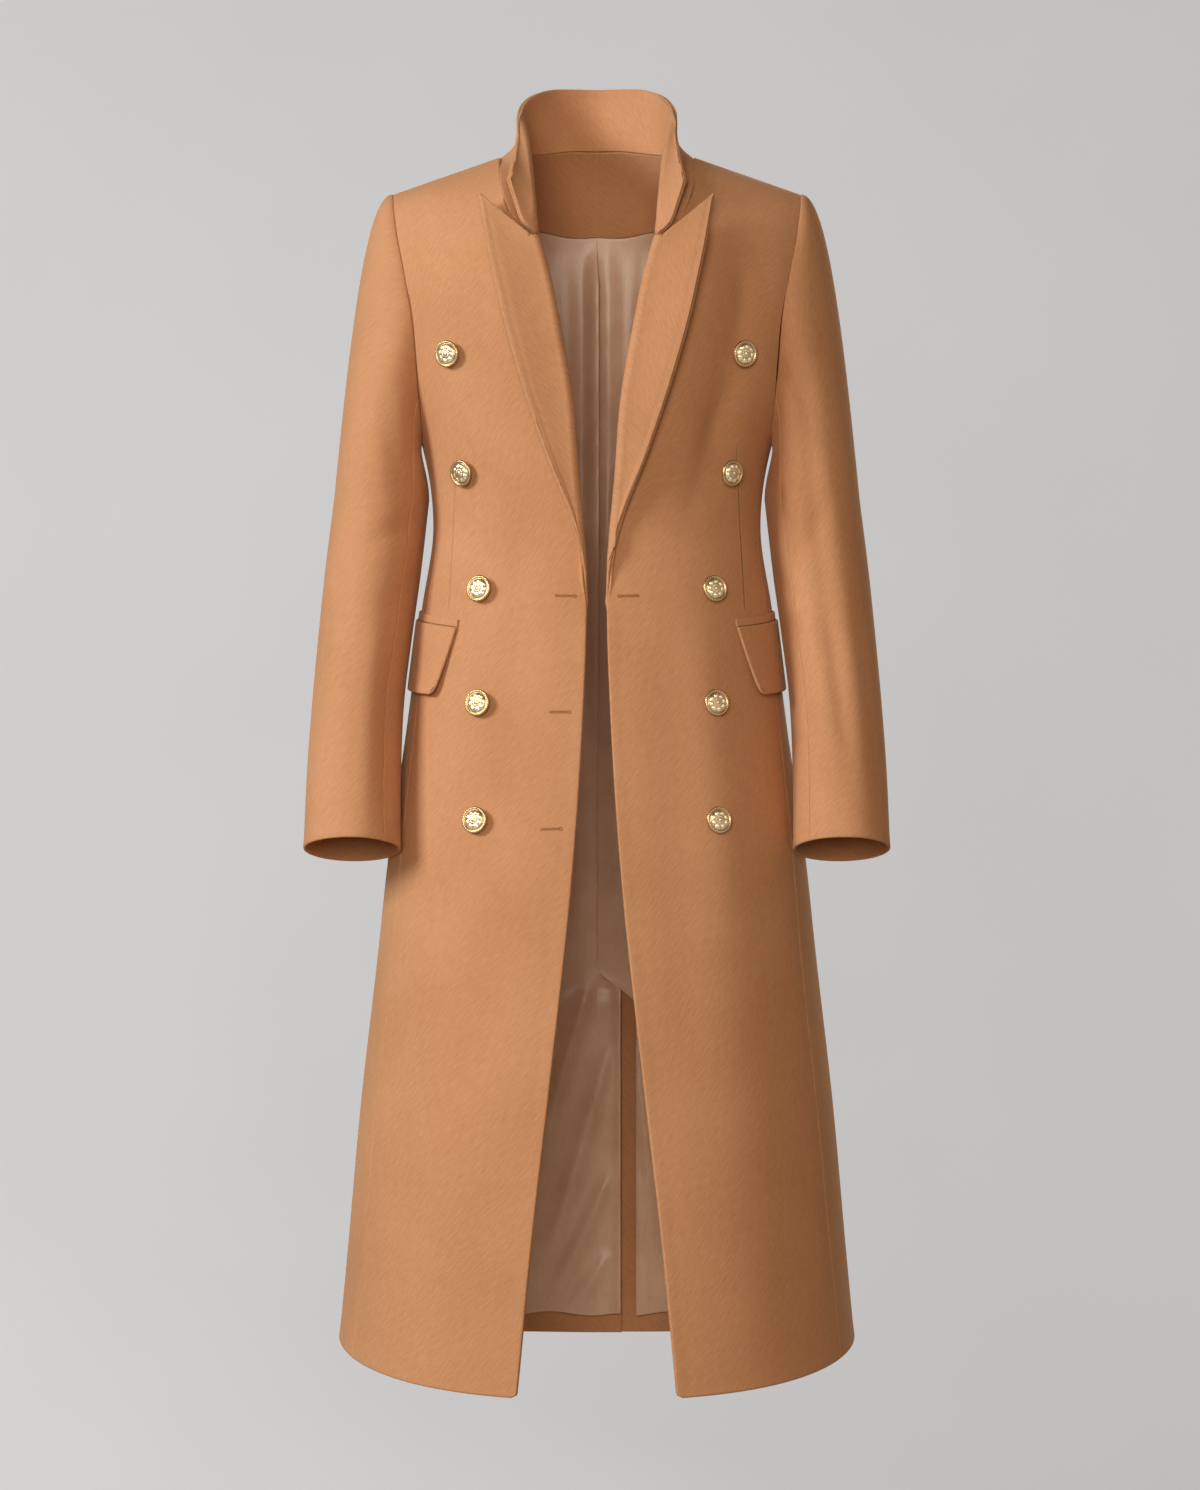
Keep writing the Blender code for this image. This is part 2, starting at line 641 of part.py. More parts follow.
def sleeve_ring(height, steps):
    """One ring of the sleeve: an ellipse from the underarm side round the front, tilted."""
    turn = np.linspace(0.0, 2.0 * math.pi, steps + 1)
    x = read(SLEEVE, "out", height) - read(SLEEVE, "half_width", height) * np.cos(turn)
    depth = -read(SLEEVE, "half_depth", height) * np.sin(turn)
    tilt = math.radians(float(read(SLEEVE, "tilt", height)))
    y = read(SLEEVE, "back", height) + depth * math.cos(tilt)
    return np.stack([x, y, height - depth * math.sin(tilt)], axis=-1)


def armhole_loop():
    """The armhole's points, from the underarm up the front, over and down the back."""
    front, back = armhole_line(-1.0), armhole_line(1.0)
    up = place(front[:, 0], front[:, 1])
    down = place(back[:, 0], back[:, 1])[::-1]
    return np.vstack([up, down[1:]])


def sleeve_grid():
    """The whole sleeve: a cap that leaves the armhole outward, then the tilted rings."""
    hole = armhole_loop()
    steps = len(hole) - 1
    top_ring = sleeve_ring(SLEEVE["height"][-1], steps)
    turn = np.linspace(0.0, 2.0 * math.pi, steps + 1)
    high = (0.5 - 0.5 * np.cos(turn))[:, None]
    outward = np.stack([4.0 + 23.0 * high[:, 0], -7.0 * np.sin(turn),
                        -16.0 + 21.5 * high[:, 0]], axis=-1)
    fall = (hole - top_ring)[:, 2:] * 0.5
    lead = np.hstack([-0.1 * fall * high, 0.0 * fall, fall])
    t = np.array(SLEEVE_CAP_STEPS)[:, None, None]
    hole = hole + 0.03 * outward
    cap = ((1.0 - t) ** 3 * hole + 3.0 * t * (1.0 - t) ** 2 * (hole + outward)
           + 3.0 * t * t * (1.0 - t) * (top_ring + lead) + t ** 3 * top_ring)
    heights = np.linspace(SLEEVE["height"][-1], SLEEVE["height"][0], 7)[1:]
    rings = np.stack([sleeve_ring(height, steps) for height in heights])
    return np.vstack([cap, rings])


def make_sleeves(wool):
    """Two-piece sleeves, split at a front seam and a back seam."""
    grid = sleeve_grid()[::-1]
    book = normal_book([grid])
    last = grid.shape[1] - 1
    upper = grid[:, FRONT_SLEEVE_SEAM:last - BACK_SLEEVE_SEAM + 1]
    under = np.hstack([grid[:, last - BACK_SLEEVE_SEAM:-1], grid[:, :FRONT_SLEEVE_SEAM + 1]])
    for name, side in SIDES:
        wall(f"sleeve_upper_{name}", [upper], 0.0, WOOL, wool, side, book)
        wall(f"sleeve_under_{name}", [under], 0.0, WOOL, wool, side, book)


def lining_rows(grid):
    """A panel's grid as its lining takes it: fewer rows, and a shorter hem."""
    hem = grid[0] + (grid[1] - grid[0]) * LINING_HEM_UP / (LOW_ROWS[1] - LOW_ROWS[0])
    kept = [row for row, height in enumerate(LOW_ROWS) if height not in LINING_SKIPS]
    kept += range(len(LOW_ROWS), len(grid))
    lining = grid[kept].copy()
    lining[0] = hem
    return lining


def clear_of_vent(grid):
    """The left back lining, whose edge keeps clear of the vent below its top."""
    heights = grid[..., 2]
    clear = np.interp(heights, (VENT_OPEN, VENT_TOP), (LINING_CLEARS_VENT, 0.0))
    near_centre = grid[..., 0] < clear
    moved = body(angle_of(clear, heights, 1.0), heights)
    return np.where(near_centre[..., None], moved, grid)


def make_linings(grids, book, satin):
    """Front and back linings, which hang inside the coating and the facings."""
    deep = LINING_DEPTH + SATIN
    front, plain = lining_rows(grids["front"][:, FACING_STEPS:]), lining_rows(grids["back_left"])
    book = {**normal_book([front, plain, mirrored(plain)]), **book}
    for name, side in SIDES:
        wall(f"lining_front_{name}", [front], LINING_DEPTH, deep, satin, side, book)
        back = lining_rows(grids["back_" + name])
        patches = [back[:, :NECK_FACED_STEPS + 1], back[:-NECK_FACING_ROWS, NECK_FACED_STEPS:]]
        if name == "left":
            patches = [clear_of_vent(patch) for patch in patches]
        else:
            lap = underlap_grid(UNDERLAP - 4.0)
            lap[0] += (lap[1] - lap[0]) * LINING_HEM_UP / (LOW_ROWS[1] - LOW_ROWS[0])
            kept = [row for row in range(len(lap)) if LOW_ROWS[row] not in LINING_SKIPS]
            patches.append(lap[kept])
        wall(f"lining_back_{name}", patches, LINING_DEPTH, deep, satin, side, book)


def flap_line(column, share):
    """A column of the flap's table at a share of the way from its front to its rear."""
    return np.interp(share, (0.0, 0.6, 1.0), FLAP[column])


def make_pockets(wool):
    """Flap pockets: the flap's points lie on the body, moved out, and so do the jet's."""
    share = np.linspace(0.0, 1.0, FLAP_STEPS + 1)[None, :]
    down = np.linspace(0.0, 1.0, 4)[:, None]
    top, bottom = flap_line("top_angle", share), flap_line("bottom_angle", share)
    angle = top + (bottom - top) * down
    top, bottom = flap_line("top_height", share), flap_line("bottom_height", share)
    height = top + (bottom - top) * down
    lift = FLAP_OFF + FLAP_LIFT * down ** 2 * np.clip(1.0 - 2.2 * share, 0.0, 1.0)
    flap = moved_out(angle, height, lift)
    up = np.array([[SEAM_GAP], [JET_HEIGHT]])
    jet_angle = flap_line("top_angle", share) + 0.0 * up
    jet = moved_out(jet_angle, flap_line("top_height", share) + up, FLAP_OFF + 0.0 * jet_angle)
    for name, side in SIDES:
        wall(f"pocket_flap_{name}", [flap[::-1]], -FLAP_THICK, 0.0, wool, side)
        wall(f"pocket_jet_{name}", [jet], -JET_THICK, 0.0, wool, side)


def make_button(name, centre, axis, metal):
    """A turned shank button that stands on the cloth along an axis."""
    aside = np.cross(axis, (0.0, 0.0, 1.0))
    aside = aside / np.linalg.norm(aside)
    upward = np.cross(aside, axis)
    turn = np.linspace(0.0, 2.0 * math.pi, BUTTON_SIDES, endpoint=False)[:, None]
    rims = [centre + axis * rise + radius * (aside * np.cos(turn) + upward * np.sin(turn))
            for radius, rise in BUTTON_PROFILE]
    count = BUTTON_SIDES
    faces = [list(range(count))]
    for low in range(len(rims) - 1):
        for one in range(count):
            step = (one + 1) % count
            faces.append([low * count + one, (low + 1) * count + one,
                          (low + 1) * count + step, low * count + step])
    faces.append([(len(rims) - 1) * count + one for one in reversed(range(count))])
    add_mesh(name, np.vstack(rims), faces, metal)


def make_buttons(metal):
    """Five buttons on each front, seated on the cloth."""
    centres = front_at(BUTTONS["out"], BUTTONS["height"])
    axes = normals(front_at, BUTTONS["out"], BUTTONS["height"])
    for name, side in SIDES:
        for number, (centre, axis) in enumerate(zip(centres, axes), start=1):
            mirror = np.array((side, 1.0, 1.0))
            make_button(f"button_{name}_{number}", centre * mirror, axis * mirror, metal)


def main():
    """Clear the scene and build the coat."""
    for piece in list(bpy.data.objects):
        bpy.data.objects.remove(piece, do_unlink=True)
    wool = make_material("wool_coating", "C4926A", 0.9)
    satin = make_material("satin_lining", "A58C79", 0.45)
    metal = make_material("gilt_button", "D2B878", 0.3, 1.0)
    grids, book = body_grids()
    make_fronts(grids, book, wool)
    make_backs(grids, book, wool)
    make_collar(wool)
    make_sleeves(wool)
    make_pockets(wool)
    make_linings(grids, book, satin)
    make_buttons(metal)


main()
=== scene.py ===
"""Looks of a double-breasted maxi coat of camel wool coating, open at the front and hollow.

Lengths are in millimetres until a mesh is made. The coat's outer surface is a function of an
angle round the body (-90 degrees centre front, 0 side, +90 centre back) and a height. Every
cloth piece is a grid of points on that surface, or on one that leaves it, given a wall with
rounded edges. "Out" is the distance from the centre plane, so one table serves both sides.
"""
import math

import bpy
import numpy as np
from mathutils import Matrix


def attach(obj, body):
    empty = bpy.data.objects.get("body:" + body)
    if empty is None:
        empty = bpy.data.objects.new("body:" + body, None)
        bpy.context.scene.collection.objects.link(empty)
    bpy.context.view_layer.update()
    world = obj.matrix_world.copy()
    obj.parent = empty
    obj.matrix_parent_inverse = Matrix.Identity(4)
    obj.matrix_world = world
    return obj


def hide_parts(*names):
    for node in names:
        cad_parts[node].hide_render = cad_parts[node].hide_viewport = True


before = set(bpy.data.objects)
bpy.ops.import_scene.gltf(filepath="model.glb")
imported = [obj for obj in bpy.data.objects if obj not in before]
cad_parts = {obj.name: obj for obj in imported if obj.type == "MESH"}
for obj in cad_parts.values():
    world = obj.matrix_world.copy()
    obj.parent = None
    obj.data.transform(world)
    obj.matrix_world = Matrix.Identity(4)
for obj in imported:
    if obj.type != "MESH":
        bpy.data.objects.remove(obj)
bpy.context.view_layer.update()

MM = 0.001

# Cloth and making up
WOOL = 2.4                # thickness of the coating
SATIN = 1.0               # thickness of the lining
PLY_GAP = 0.35            # space between two cloths that lie on each other
LINING_DEPTH = 5.7        # how far the lining hangs inside the coating's outer surface
FACING_WIDTH = 90.0
ROLL_RADIUS = 2.0
ROLL_WIDTH = 8.0          # lapel width at which the roll is a full half turn
LAPEL_LIFT = 14.0         # how far the lapel's outer edge rises where it is wide
LAPEL_SLOPE = 0.24        # and its rise for its width where it is narrow
LAPEL_CURL = 1.5          # how far its very edge turns down again
LAPEL_CURL_WIDTH = 15.0
PEAK_CORNER = 3.5         # radius of the peak's tip
HEM_CORNER = 5.0          # radius where the front edge meets the hem
RIM_STEPS = 5             # faces round a cloth's cut or turned edge
INSET_SHARE = 0.95        # share of the outmost row of faces that its rounding may take
EDGE_ROOM = 1.7           # least width of that row on a lapel

# Levels
HEM_SIDE = -1138.0
HEM_CENTRE_FRONT = -1169.0
HEM_CENTRE_BACK = -1163.0
HEM_EASE = 0.2
HEM_EVENS_OUT = -820.0
BREAK = -440.0
UNDERARM = -275.0
GORGE = -89.5
PEAK = -54.0
VENT_TOP = -812.0
VENT_SLANT = -790.0       # where the left back lining begins to clear the vent
UNDERLAP = 25.0
UNDERLAP_DEPTH = 4.0
UNDERLAP_COLUMNS = 12
LINING_CLEARS_VENT = 40.0
LINING_HEM_ROWS = 5       # rows by which the front lining is shorter than the coating
LINING_HEM_UP = 17.4      # and the same length for the back lining

ROUNDNESS = 2.3
ARCH = 140.0
SHOULDER_POINT = 197.0
FACING_ON_SHOULDER = 145.5
NECK_POINT = 94.0
SIDES = (("right", -1.0), ("left", 1.0))


def columns(names, rows):
    """Turn rows of numbers into a dictionary of named columns."""
    return dict(zip(names.split(), np.array(rows, dtype=float).T))


# Sections of the coat: half width, and depth to the front and to the back
BODY = columns("height half_width front back", (
    (-1180.0, 253.0, 204.0, 183.0),
    (-1060.0, 241.5, 196.0, 176.0),
    (-910.0, 228.0, 184.0, 165.0),
    (-765.0, 211.5, 168.0, 151.0),
    (-680.0, 202.5, 156.0, 142.0),
    (-545.0, 183.5, 136.0, 124.0),
    (-435.0, 169.5, 121.0, 106.0),
    (-355.0, 158.5, 113.0, 95.0),
    (-275.0, 170.0, 121.0, 101.0),
    (-220.0, 190.0, 124.0, 110.0),
    (-150.0, 212.0, 122.0, 118.0),
    (-60.0, 226.0, 112.0, 116.0),
    (70.0, 232.0, 100.0, 108.0)))

# The shoulder's ridge, and the same with its bend at the neck point eased, for what lies over it
RIDGE = columns("out height", (
    (0.0, 62.0), (50.0, 42.0), (86.0, 8.0), (92.5, 2.5), (94.0, 2.0), (96.0, 1.3),
    (197.0, -33.5), (240.0, -48.3)))
SOFT_RIDGE = columns("out height", (
    (0.0, 62.0), (50.0, 42.0), (68.0, 25.0), (84.0, 11.5), (98.0, 2.5), (114.0, -4.5),
    (134.0, -11.8), (197.0, -33.5), (240.0, -48.3)))

SIDE_SEAM = columns("height angle", (
    (-1180.0, -24.0), (-680.0, -24.0), (-545.0, -20.0),
    (-355.0, -15.0), (-275.0, -9.5), (-200.0, -9.5)))

# The front edge up to the break, and the lapel's roll line above it
FRONT_LINE = columns("height out", (
    (-1180.0, 75.0), (-1015.0, 59.0), (-877.0, 43.0), (-674.0, 21.5), (-544.0, 13.0),
    (-440.0, 9.5), (-383.0, 10.4), (-318.0, 16.0), (-242.0, 22.0), (-177.0, 33.0),
    (-125.0, 43.3), (-89.5, 53.0)))

LAPEL_EDGE = columns("height out", (
    (-440.0, 9.5), (-407.0, 13.1), (-353.0, 25.3), (-290.0, 48.0),
    (-238.0, 65.0), (-156.0, 87.7), (-54.0, 107.0)))

NECK_FRONT = columns("out height", (
    (80.0, -66.0), (91.0, -35.0), (93.5, -12.0), (94.0, 2.0)))

NECK_BACK = columns("out height", (
    (94.0, 2.0), (82.0, 9.5), (65.0, 14.5), (44.0, 19.0), (22.0, 21.5), (0.0, 22.0)))

ARMHOLE = columns("height front_out back_out", (
    (-262.0, 168.0, 172.0),
    (-236.0, 170.0, 176.5),
    (-200.0, 172.5, 180.0),
    (-160.0, 176.0, 183.0),
    (-118.0, 183.5, 187.0),
    (-80.0, 191.0, 192.0),
    (-50.0, 195.5, 195.5),
    (-33.5, 197.0, 197.0)))

# Rings of the sleeve: its middle, half widths, and how far each ring tilts in degrees
SLEEVE = columns("height out back half_width half_depth tilt", (
    (-666.0, 232.0, -86.0, 46.0, 50.0, 15.0),
    (-590.0, 231.5, -62.0, 44.7, 53.5, 12.0),
    (-520.0, 228.5, -40.0, 44.0, 57.0, 8.0),
    (-465.0, 223.5, -24.0, 45.0, 60.0, 4.0),
    (-400.0, 216.5, -10.0, 46.3, 64.0, 1.0),
    (-330.0, 208.5, -4.0, 46.0, 67.0, 0.0)))

# The collar from the gorge to the centre back: its fold, its outer edge, and how firmly the
# cloth runs straight on from the fold
COLLAR = columns("fold_out fold_back fold_height edge_out edge_back edge_height firmness", (
    (59.5, -101.5, -86.0, 86.0, -84.0, -31.0, 24.0),
    (61.5, -91.0, -63.0, 83.5, -68.0, -18.0, 24.0),
    (64.5, -73.0, -38.0, 81.0, -45.0, 0.0, 24.0),
    (67.5, -48.0, -9.0, 77.5, -22.0, 18.0, 24.0),
    (71.5, -17.0, 18.0, 77.5, 1.0, 38.0, 26.0),
    (76.0, 20.0, 33.0, 76.5, 20.0, 54.0, 30.0),
    (65.5, 47.0, 43.0, 68.0, 44.0, 68.5, 32.0),
    (46.5, 65.0, 49.0, 51.0, 66.5, 78.0, 34.0),
    (23.5, 76.5, 52.0, 26.5, 80.5, 80.7, 34.0),
    (0.0, 82.0, 52.0, 0.0, 86.5, 81.0, 34.0)))
COLLAR_FRONT = columns("out back height", (
    (59.5, -101.5, -86.0), (71.5, -104.0, -74.5), (79.5, -95.0, -52.0), (86.0, -84.0, -31.0)))

# The pocket flap's front end, the point where it bends, and its rear end
FLAP = columns("top_angle top_height bottom_angle bottom_height", (
    (-43.0, -456.0, -36.0, -521.0),
    (0.0, -445.0, 0.0, -513.0),
    (24.0, -441.0, 22.0, -508.0)))
FLAP_THICK = 3.2
FLAP_OFF = 1.1
FLAP_LIFT = 5.0           # how far the flap's front corner stands off
FLAP_BEND = 0.6           # share of the flap's width at which it bends
JET_HEIGHT = 8.0
JET_THICK = 1.8
JET_OFF = 0.5

BUTTONS = columns("out height", (
    (139.0, -197.0), (125.5, -308.5), (109.0, -420.0), (110.0, -528.0), (112.0, -638.0)))
BUTTON_TURN = (0.15, -0.3, 0.1, -0.2, 0.4)   # how far each is turned on its shank, in radians

# Seam of the back neck facing with the lining, from the shoulder seam to the centre back
NECK_FACING = columns("out height", (
    (145.5, -15.8), (132.0, -36.0), (105.0, -49.0), (75.0, -56.0), (38.0, -59.0), (0.0, -60.0)))

# Grid sizes
LOW_ROWS = 122            # rows of a panel from hem to underarm
LINING_ROWS = 180         # and of the back lining, which has finer folds
HEM_ROWS = (0.0, 2.0, 4.2)   # the lowest rows, close together for the rounded corner
HIGH_ROWS = 72            # rows from the underarm to the shoulder
EDGE_CLOSING = 1.25       # power by which rows and columns lie closer at the lapel's fold
FREE_COLUMNS = 60         # columns of the front outside the facing
FACED_COLUMNS = 24        # and over it
BACK_COLUMNS = 80
LINING_CLOSING = 1.4      # power by which the back lining's columns lie closer at the centre
SHOULDER_SHARE = 0.4      # share of the back's columns that end at the shoulder seam

# Soft grooves of the hanging cloth, on the unrolled body: ends as angle and height, half
# width, depth (negative is a ridge). side: +1 the wearer's left, -1 the right, 0 both.
GROOVES = columns("side angle_top top angle_low low width depth", (
    (1.0, -54.0, -62.0, -50.0, -330.0, 24.0, 8.0),
    (1.0, -53.0, -110.0, -49.0, -190.0, 10.0, 2.4),
    (1.0, -70.0, -120.0, -66.0, -300.0, 20.0, -1.6),
    (1.0, -46.0, -205.0, -60.0, -350.0, 14.0, 2.0),
    (1.0, -59.0, -430.0, -56.0, -760.0, 26.0, -2.0),
    (1.0, -70.0, -470.0, -72.0, -860.0, 24.0, 2.0),
    (1.0, -44.0, -560.0, -40.0, -1100.0, 34.0, 1.2),
    (1.0, -58.0, -800.0, -57.0, -1180.0, 40.0, -2.4),
    (-1.0, -66.0, -330.0, -68.0, -620.0, 22.0, 2.2),
    (-1.0, -55.0, -520.0, -52.0, -900.0, 30.0, -1.6),
    (-1.0, -60.0, -110.0, -62.0, -230.0, 18.0, 1.2),
    (-1.0, -72.0, -700.0, -66.0, -1180.0, 46.0, 1.8),
    (-1.0, -42.0, -640.0, -38.0, -1150.0, 30.0, 1.6),
    (0.0, 50.0, -120.0, 58.0, -330.0, 24.0, 1.8),
    (1.0, 62.0, -420.0, 58.0, -1160.0, 34.0, 2.6),
    (-1.0, 58.0, -460.0, 64.0, -1160.0, 36.0, 2.4),
    (-1.0, 34.0, -640.0, 36.0, -1160.0, 30.0, -2.0),
    (1.0, 32.0, -600.0, 38.0, -1160.0, 30.0, -2.0)))
UNROLLED = 3.1            # millimetres of surface for one degree round the body
GROOVE_FADE = (-0.1, 0.25)   # shares of its length between which each end of a groove fades

# The same on a sleeve, where the turn runs from the body's side round the front
SLEEVE_FOLDS = columns("side turn_top top turn_low low width depth", (
    (1.0, 60.0, -200.0, 130.0, -300.0, 14.0, 2.0),
    (1.0, 60.0, -420.0, 95.0, -640.0, 12.0, -1.8),
    (1.0, 110.0, -330.0, 50.0, -400.0, 12.0, 1.8),
    (1.0, 130.0, -420.0, 140.0, -640.0, 14.0, 1.6),
    (1.0, 84.0, -170.0, 90.0, -650.0, 15.0, 4.0),
    (-1.0, 95.0, -230.0, 60.0, -330.0, 14.0, 1.8),
    (-1.0, 75.0, -430.0, 70.0, -650.0, 13.0, -1.6),
    (-1.0, 45.0, -470.0, 40.0, -650.0, 10.0, 1.8),
    (-1.0, 120.0, -360.0, 150.0, -560.0, 16.0, 1.6),
    (0.0, 20.0, -340.0, 110.0, -385.0, 11.0, 1.4),
    (0.0, 10.0, -400.0, 80.0, -440.0, 12.0, 1.2),
    (0.0, 250.0, -330.0, 300.0, -430.0, 16.0, 2.0),
    (0.0, 230.0, -420.0, 240.0, -620.0, 16.0, -1.4)))
SLEEVE_UNROLLED = 0.95    # and for one degree round a sleeve

# Folds of the back lining into the coat, by distance from the centre back
LINING_FOLDS = columns("side out_top top out_low low width depth", (
    (1.0, 10.0, -62.0, 11.0, -400.0, 6.5, 3.4),
    (1.0, 17.0, -72.0, 19.0, -330.0, 7.0, 2.0),
    (1.0, 48.0, -70.0, 38.0, -320.0, 8.0, 3.0),
    (1.0, 12.0, -380.0, 22.0, -760.0, 9.0, 2.0),
    (-1.0, 32.0, -78.0, 27.0, -430.0, 10.0, 2.4),
    (-1.0, 62.0, -90.0, 50.0, -300.0, 12.0, 2.0),
    (-1.0, 24.0, -460.0, 14.0, -780.0, 9.0, 2.0),
    (-1.0, -16.0, -860.0, 46.0, -1080.0, 9.0, 7.0),
    (-1.0, 6.0, -800.0, 52.0, -960.0, 8.0, 5.0),
    (-1.0, -18.0, -990.0, 44.0, -1128.0, 8.0, 6.0),
    (-1.0, -14.0, -1080.0, 30.0, -1140.0, 7.0, 4.5),
    (1.0, 44.0, -880.0, 60.0, -1100.0, 7.0, 4.5),
    (1.0, 42.0, -1000.0, 52.0, -1140.0, 6.0, 3.5)))

# Centre pleat of the back lining: the right side stands in and the left one sinks beside it
PLEAT_DEPTH = 8.5
PLEAT_LEAST = 0.15        # share of its depth that stays in its lower part
PLEAT_WIDTH = 15.0
PLEAT_LAP = 2.0           # how far its fold passes the centre
PLEAT_OPENS = (4.0, 60.0)       # distances under the neck facing between which it opens
PLEAT_DEEPENS = (-620.0, -330.0)   # levels between which it grows to its full depth
PLEAT_BEGINS = (-800.0, -700.0)    # levels between which it begins above the vent
SINK_DEPTH = 6.0
SINK_SHIFT = 9.0          # how much nearer the centre the left side sinks

# Small waves of the back lining: ripples beside the pleat, puckers at the vent, wavy hem
RIPPLE_DEPTH = 1.4
RIPPLE_WIDTH = 8.0
RIPPLE_GROWS = (-420.0, -300.0)
PUCKER_DEPTH = 1.1
PUCKER_WIDTH = 7.0
PUCKER_GROWS = (0.0, 25.0)      # distances under the vent's slant
VENT_STAND = {-1.0: 4.0, 1.0: 1.5}   # how far the right and left vent edges stand in
WAVE_DEPTH = 2.0
WAVE_LENGTH = 13.0
WAVE_RISE = 60.0


def curve(knots, values, at):
    """Read a smooth cubic through (knots, values), with slopes taken from its neighbours."""
    slopes = np.gradient(values, knots)
    at = np.clip(at, knots[0], knots[-1])
    low = np.clip(np.searchsorted(knots, at) - 1, 0, len(knots) - 2)
    width = knots[low + 1] - knots[low]
    t = (at - knots[low]) / width
    rise = (3.0 - 2.0 * t) * t * t
    ease_in = t * (1.0 - t) ** 2 * width * slopes[low]
    ease_out = t * t * (t - 1.0) * width * slopes[low + 1]
    return values[low] * (1.0 - rise) + values[low + 1] * rise + ease_in + ease_out


def read(table, column, at):
    """Read one column of a table along its first column."""
    return curve(next(iter(table.values())), table[column], np.asarray(at, dtype=float))


def shares(count, power=1.0):
    """Places from 0 to 1, which lie closer towards 1 by a power."""
    return 1.0 - np.linspace(1.0, 0.0, count) ** power


def resample(points, count, power=1.0):
    """A smooth curve through a few points, read at places closer towards the last point."""
    points = np.asarray(points, dtype=float)
    index = np.arange(len(points), dtype=float)
    at = shares(count, power) * (len(points) - 1.0)
    return np.stack([curve(index, column, at) for column in points.T], axis=-1)


def unit(vectors):
    """Vectors divided by their lengths."""
    return vectors / np.maximum(np.linalg.norm(vectors, axis=-1, keepdims=True), 1e-9)


def smooth(value, low, high):
    """Smooth step: 0 up to low, 1 from high on, an S between."""
    t = np.clip((value - low) / (high - low), 0.0, 1.0)
    return (3.0 - 2.0 * t) * t * t


def bell(value, middle, half_width, power=2.0):
    """A bell curve: 1 at the middle, steeper sided for a higher power."""
    return np.exp(-np.abs((value - middle) / half_width) ** power)


def uneven_wave(at, length, sway, sway_length):
    """A sine whose phase sways, so that no two of its waves are alike."""
    return np.sin(at / length + sway * np.sin(at / sway_length))


def ridge(out):
    """Height of the shoulder's ridge over a distance from the centre."""
    return read(RIDGE, "height", np.abs(out))


def body(angle, height, line=RIDGE):
    """The coat's outer surface: rounded sections, their depth arched over the shoulder."""
    angle, height = np.broadcast_arrays(np.radians(angle), np.asarray(height, dtype=float))
    across, along = np.cos(angle), np.sin(angle)
    power = 2.0 / ROUNDNESS
    x = read(BODY, "half_width", height) * np.sign(across) * np.abs(across) ** power
    depth = np.where(along < 0.0, read(BODY, "front", height), read(BODY, "back", height))
    drop = np.clip((read(line, "height", np.abs(x)) - height) / ARCH, 0.0, 1.0)
    arch = np.sqrt(np.maximum(1.0 - (1.0 - drop) ** 2, 0.0))
    y = depth * np.sign(along) * np.abs(along) ** power * arch
    return np.stack([x, y, height], axis=-1)


def soft_body(angle, height):
    """The outer surface without the bend at the neck point."""
    return body(angle, height, SOFT_RIDGE)


def angle_of(out, height, side=-1.0):
    """Angle at which the section has a distance from the centre: side -1 front, +1 back."""
    share = np.clip(np.asarray(out) / read(BODY, "half_width", height), 0.0, 1.0)
    return side * np.degrees(np.arccos(share ** (ROUNDNESS / 2.0)))


def normals(surface, first, second, step=0.5):
    """Unit normals of a surface of two parameters, by small steps along both."""
    along_first = surface(first + step, second) - surface(first - step, second)
    along_second = surface(first, second + step) - surface(first, second - step)
    return unit(np.cross(along_first, along_second))


def grooves(table, unrolled, side, angle, height):
    """How far hanging cloth stands out of its plain form: each groove is a bell across its
    line, faded at both ends. Lengths are measured on the unrolled surface."""
    angle, height = np.broadcast_arrays(np.asarray(angle, float), np.asarray(height, float))
    out = np.zeros(angle.shape)
    for one in zip(*table.values()):
        of_side, angle_top, top, angle_low, low, width, depth = one
        if of_side not in (0.0, side):
            continue
        run = np.array((unrolled * (angle_low - angle_top), low - top))
        length = np.hypot(*run)
        away = np.stack([unrolled * (angle - angle_top), height - top], axis=-1)
        along = away @ run / length ** 2
        across = (away[..., 0] * run[1] - away[..., 1] * run[0]) / length
        fade = smooth(along, *GROOVE_FADE) * smooth(1.0 - along, *GROOVE_FADE)
        out -= depth * fade * bell(across, 0.0, width)
    return out


def drape(side, angle, height):
    """The body's grooves at angles and heights."""
    return grooves(GROOVES, UNROLLED, side, angle, height)


def moved_out(side, angle, height, distance, surface=body):
    """Points of the draped surface, moved out from it by a distance."""
    distance = np.asarray(drape(side, angle, height) + distance)[..., None]
    return surface(angle, height) + normals(surface, angle, height) * distance


def hem_height(angle):
    """Height of the hem round the body: lowest at the centre front and centre back."""
    centre = np.where(np.asarray(angle) < 0.0, HEM_CENTRE_FRONT, HEM_CENTRE_BACK)
    away = np.sqrt(np.sin(np.radians(angle)) ** 2 + HEM_EASE ** 2) - HEM_EASE
    return HEM_SIDE + (centre - HEM_SIDE) * away / (math.hypot(1.0, HEM_EASE) - HEM_EASE)


def row_height(row, angle):
    """Height of a panel's row: it follows the hem and evens out above it."""
    share = np.clip((HEM_EVENS_OUT - row) / (HEM_EVENS_OUT - HEM_SIDE), 0.0, 1.0)
    return row + (hem_height(angle) - HEM_SIDE) * share ** 2


def lapel_edge(roll_height):
    """Out and height of the lapel's outer edge that faces a height of the roll line."""
    height = roll_height + (PEAK - GORGE) * (roll_height - BREAK) / (GORGE - BREAK)
    return read(LAPEL_EDGE, "out", height), height


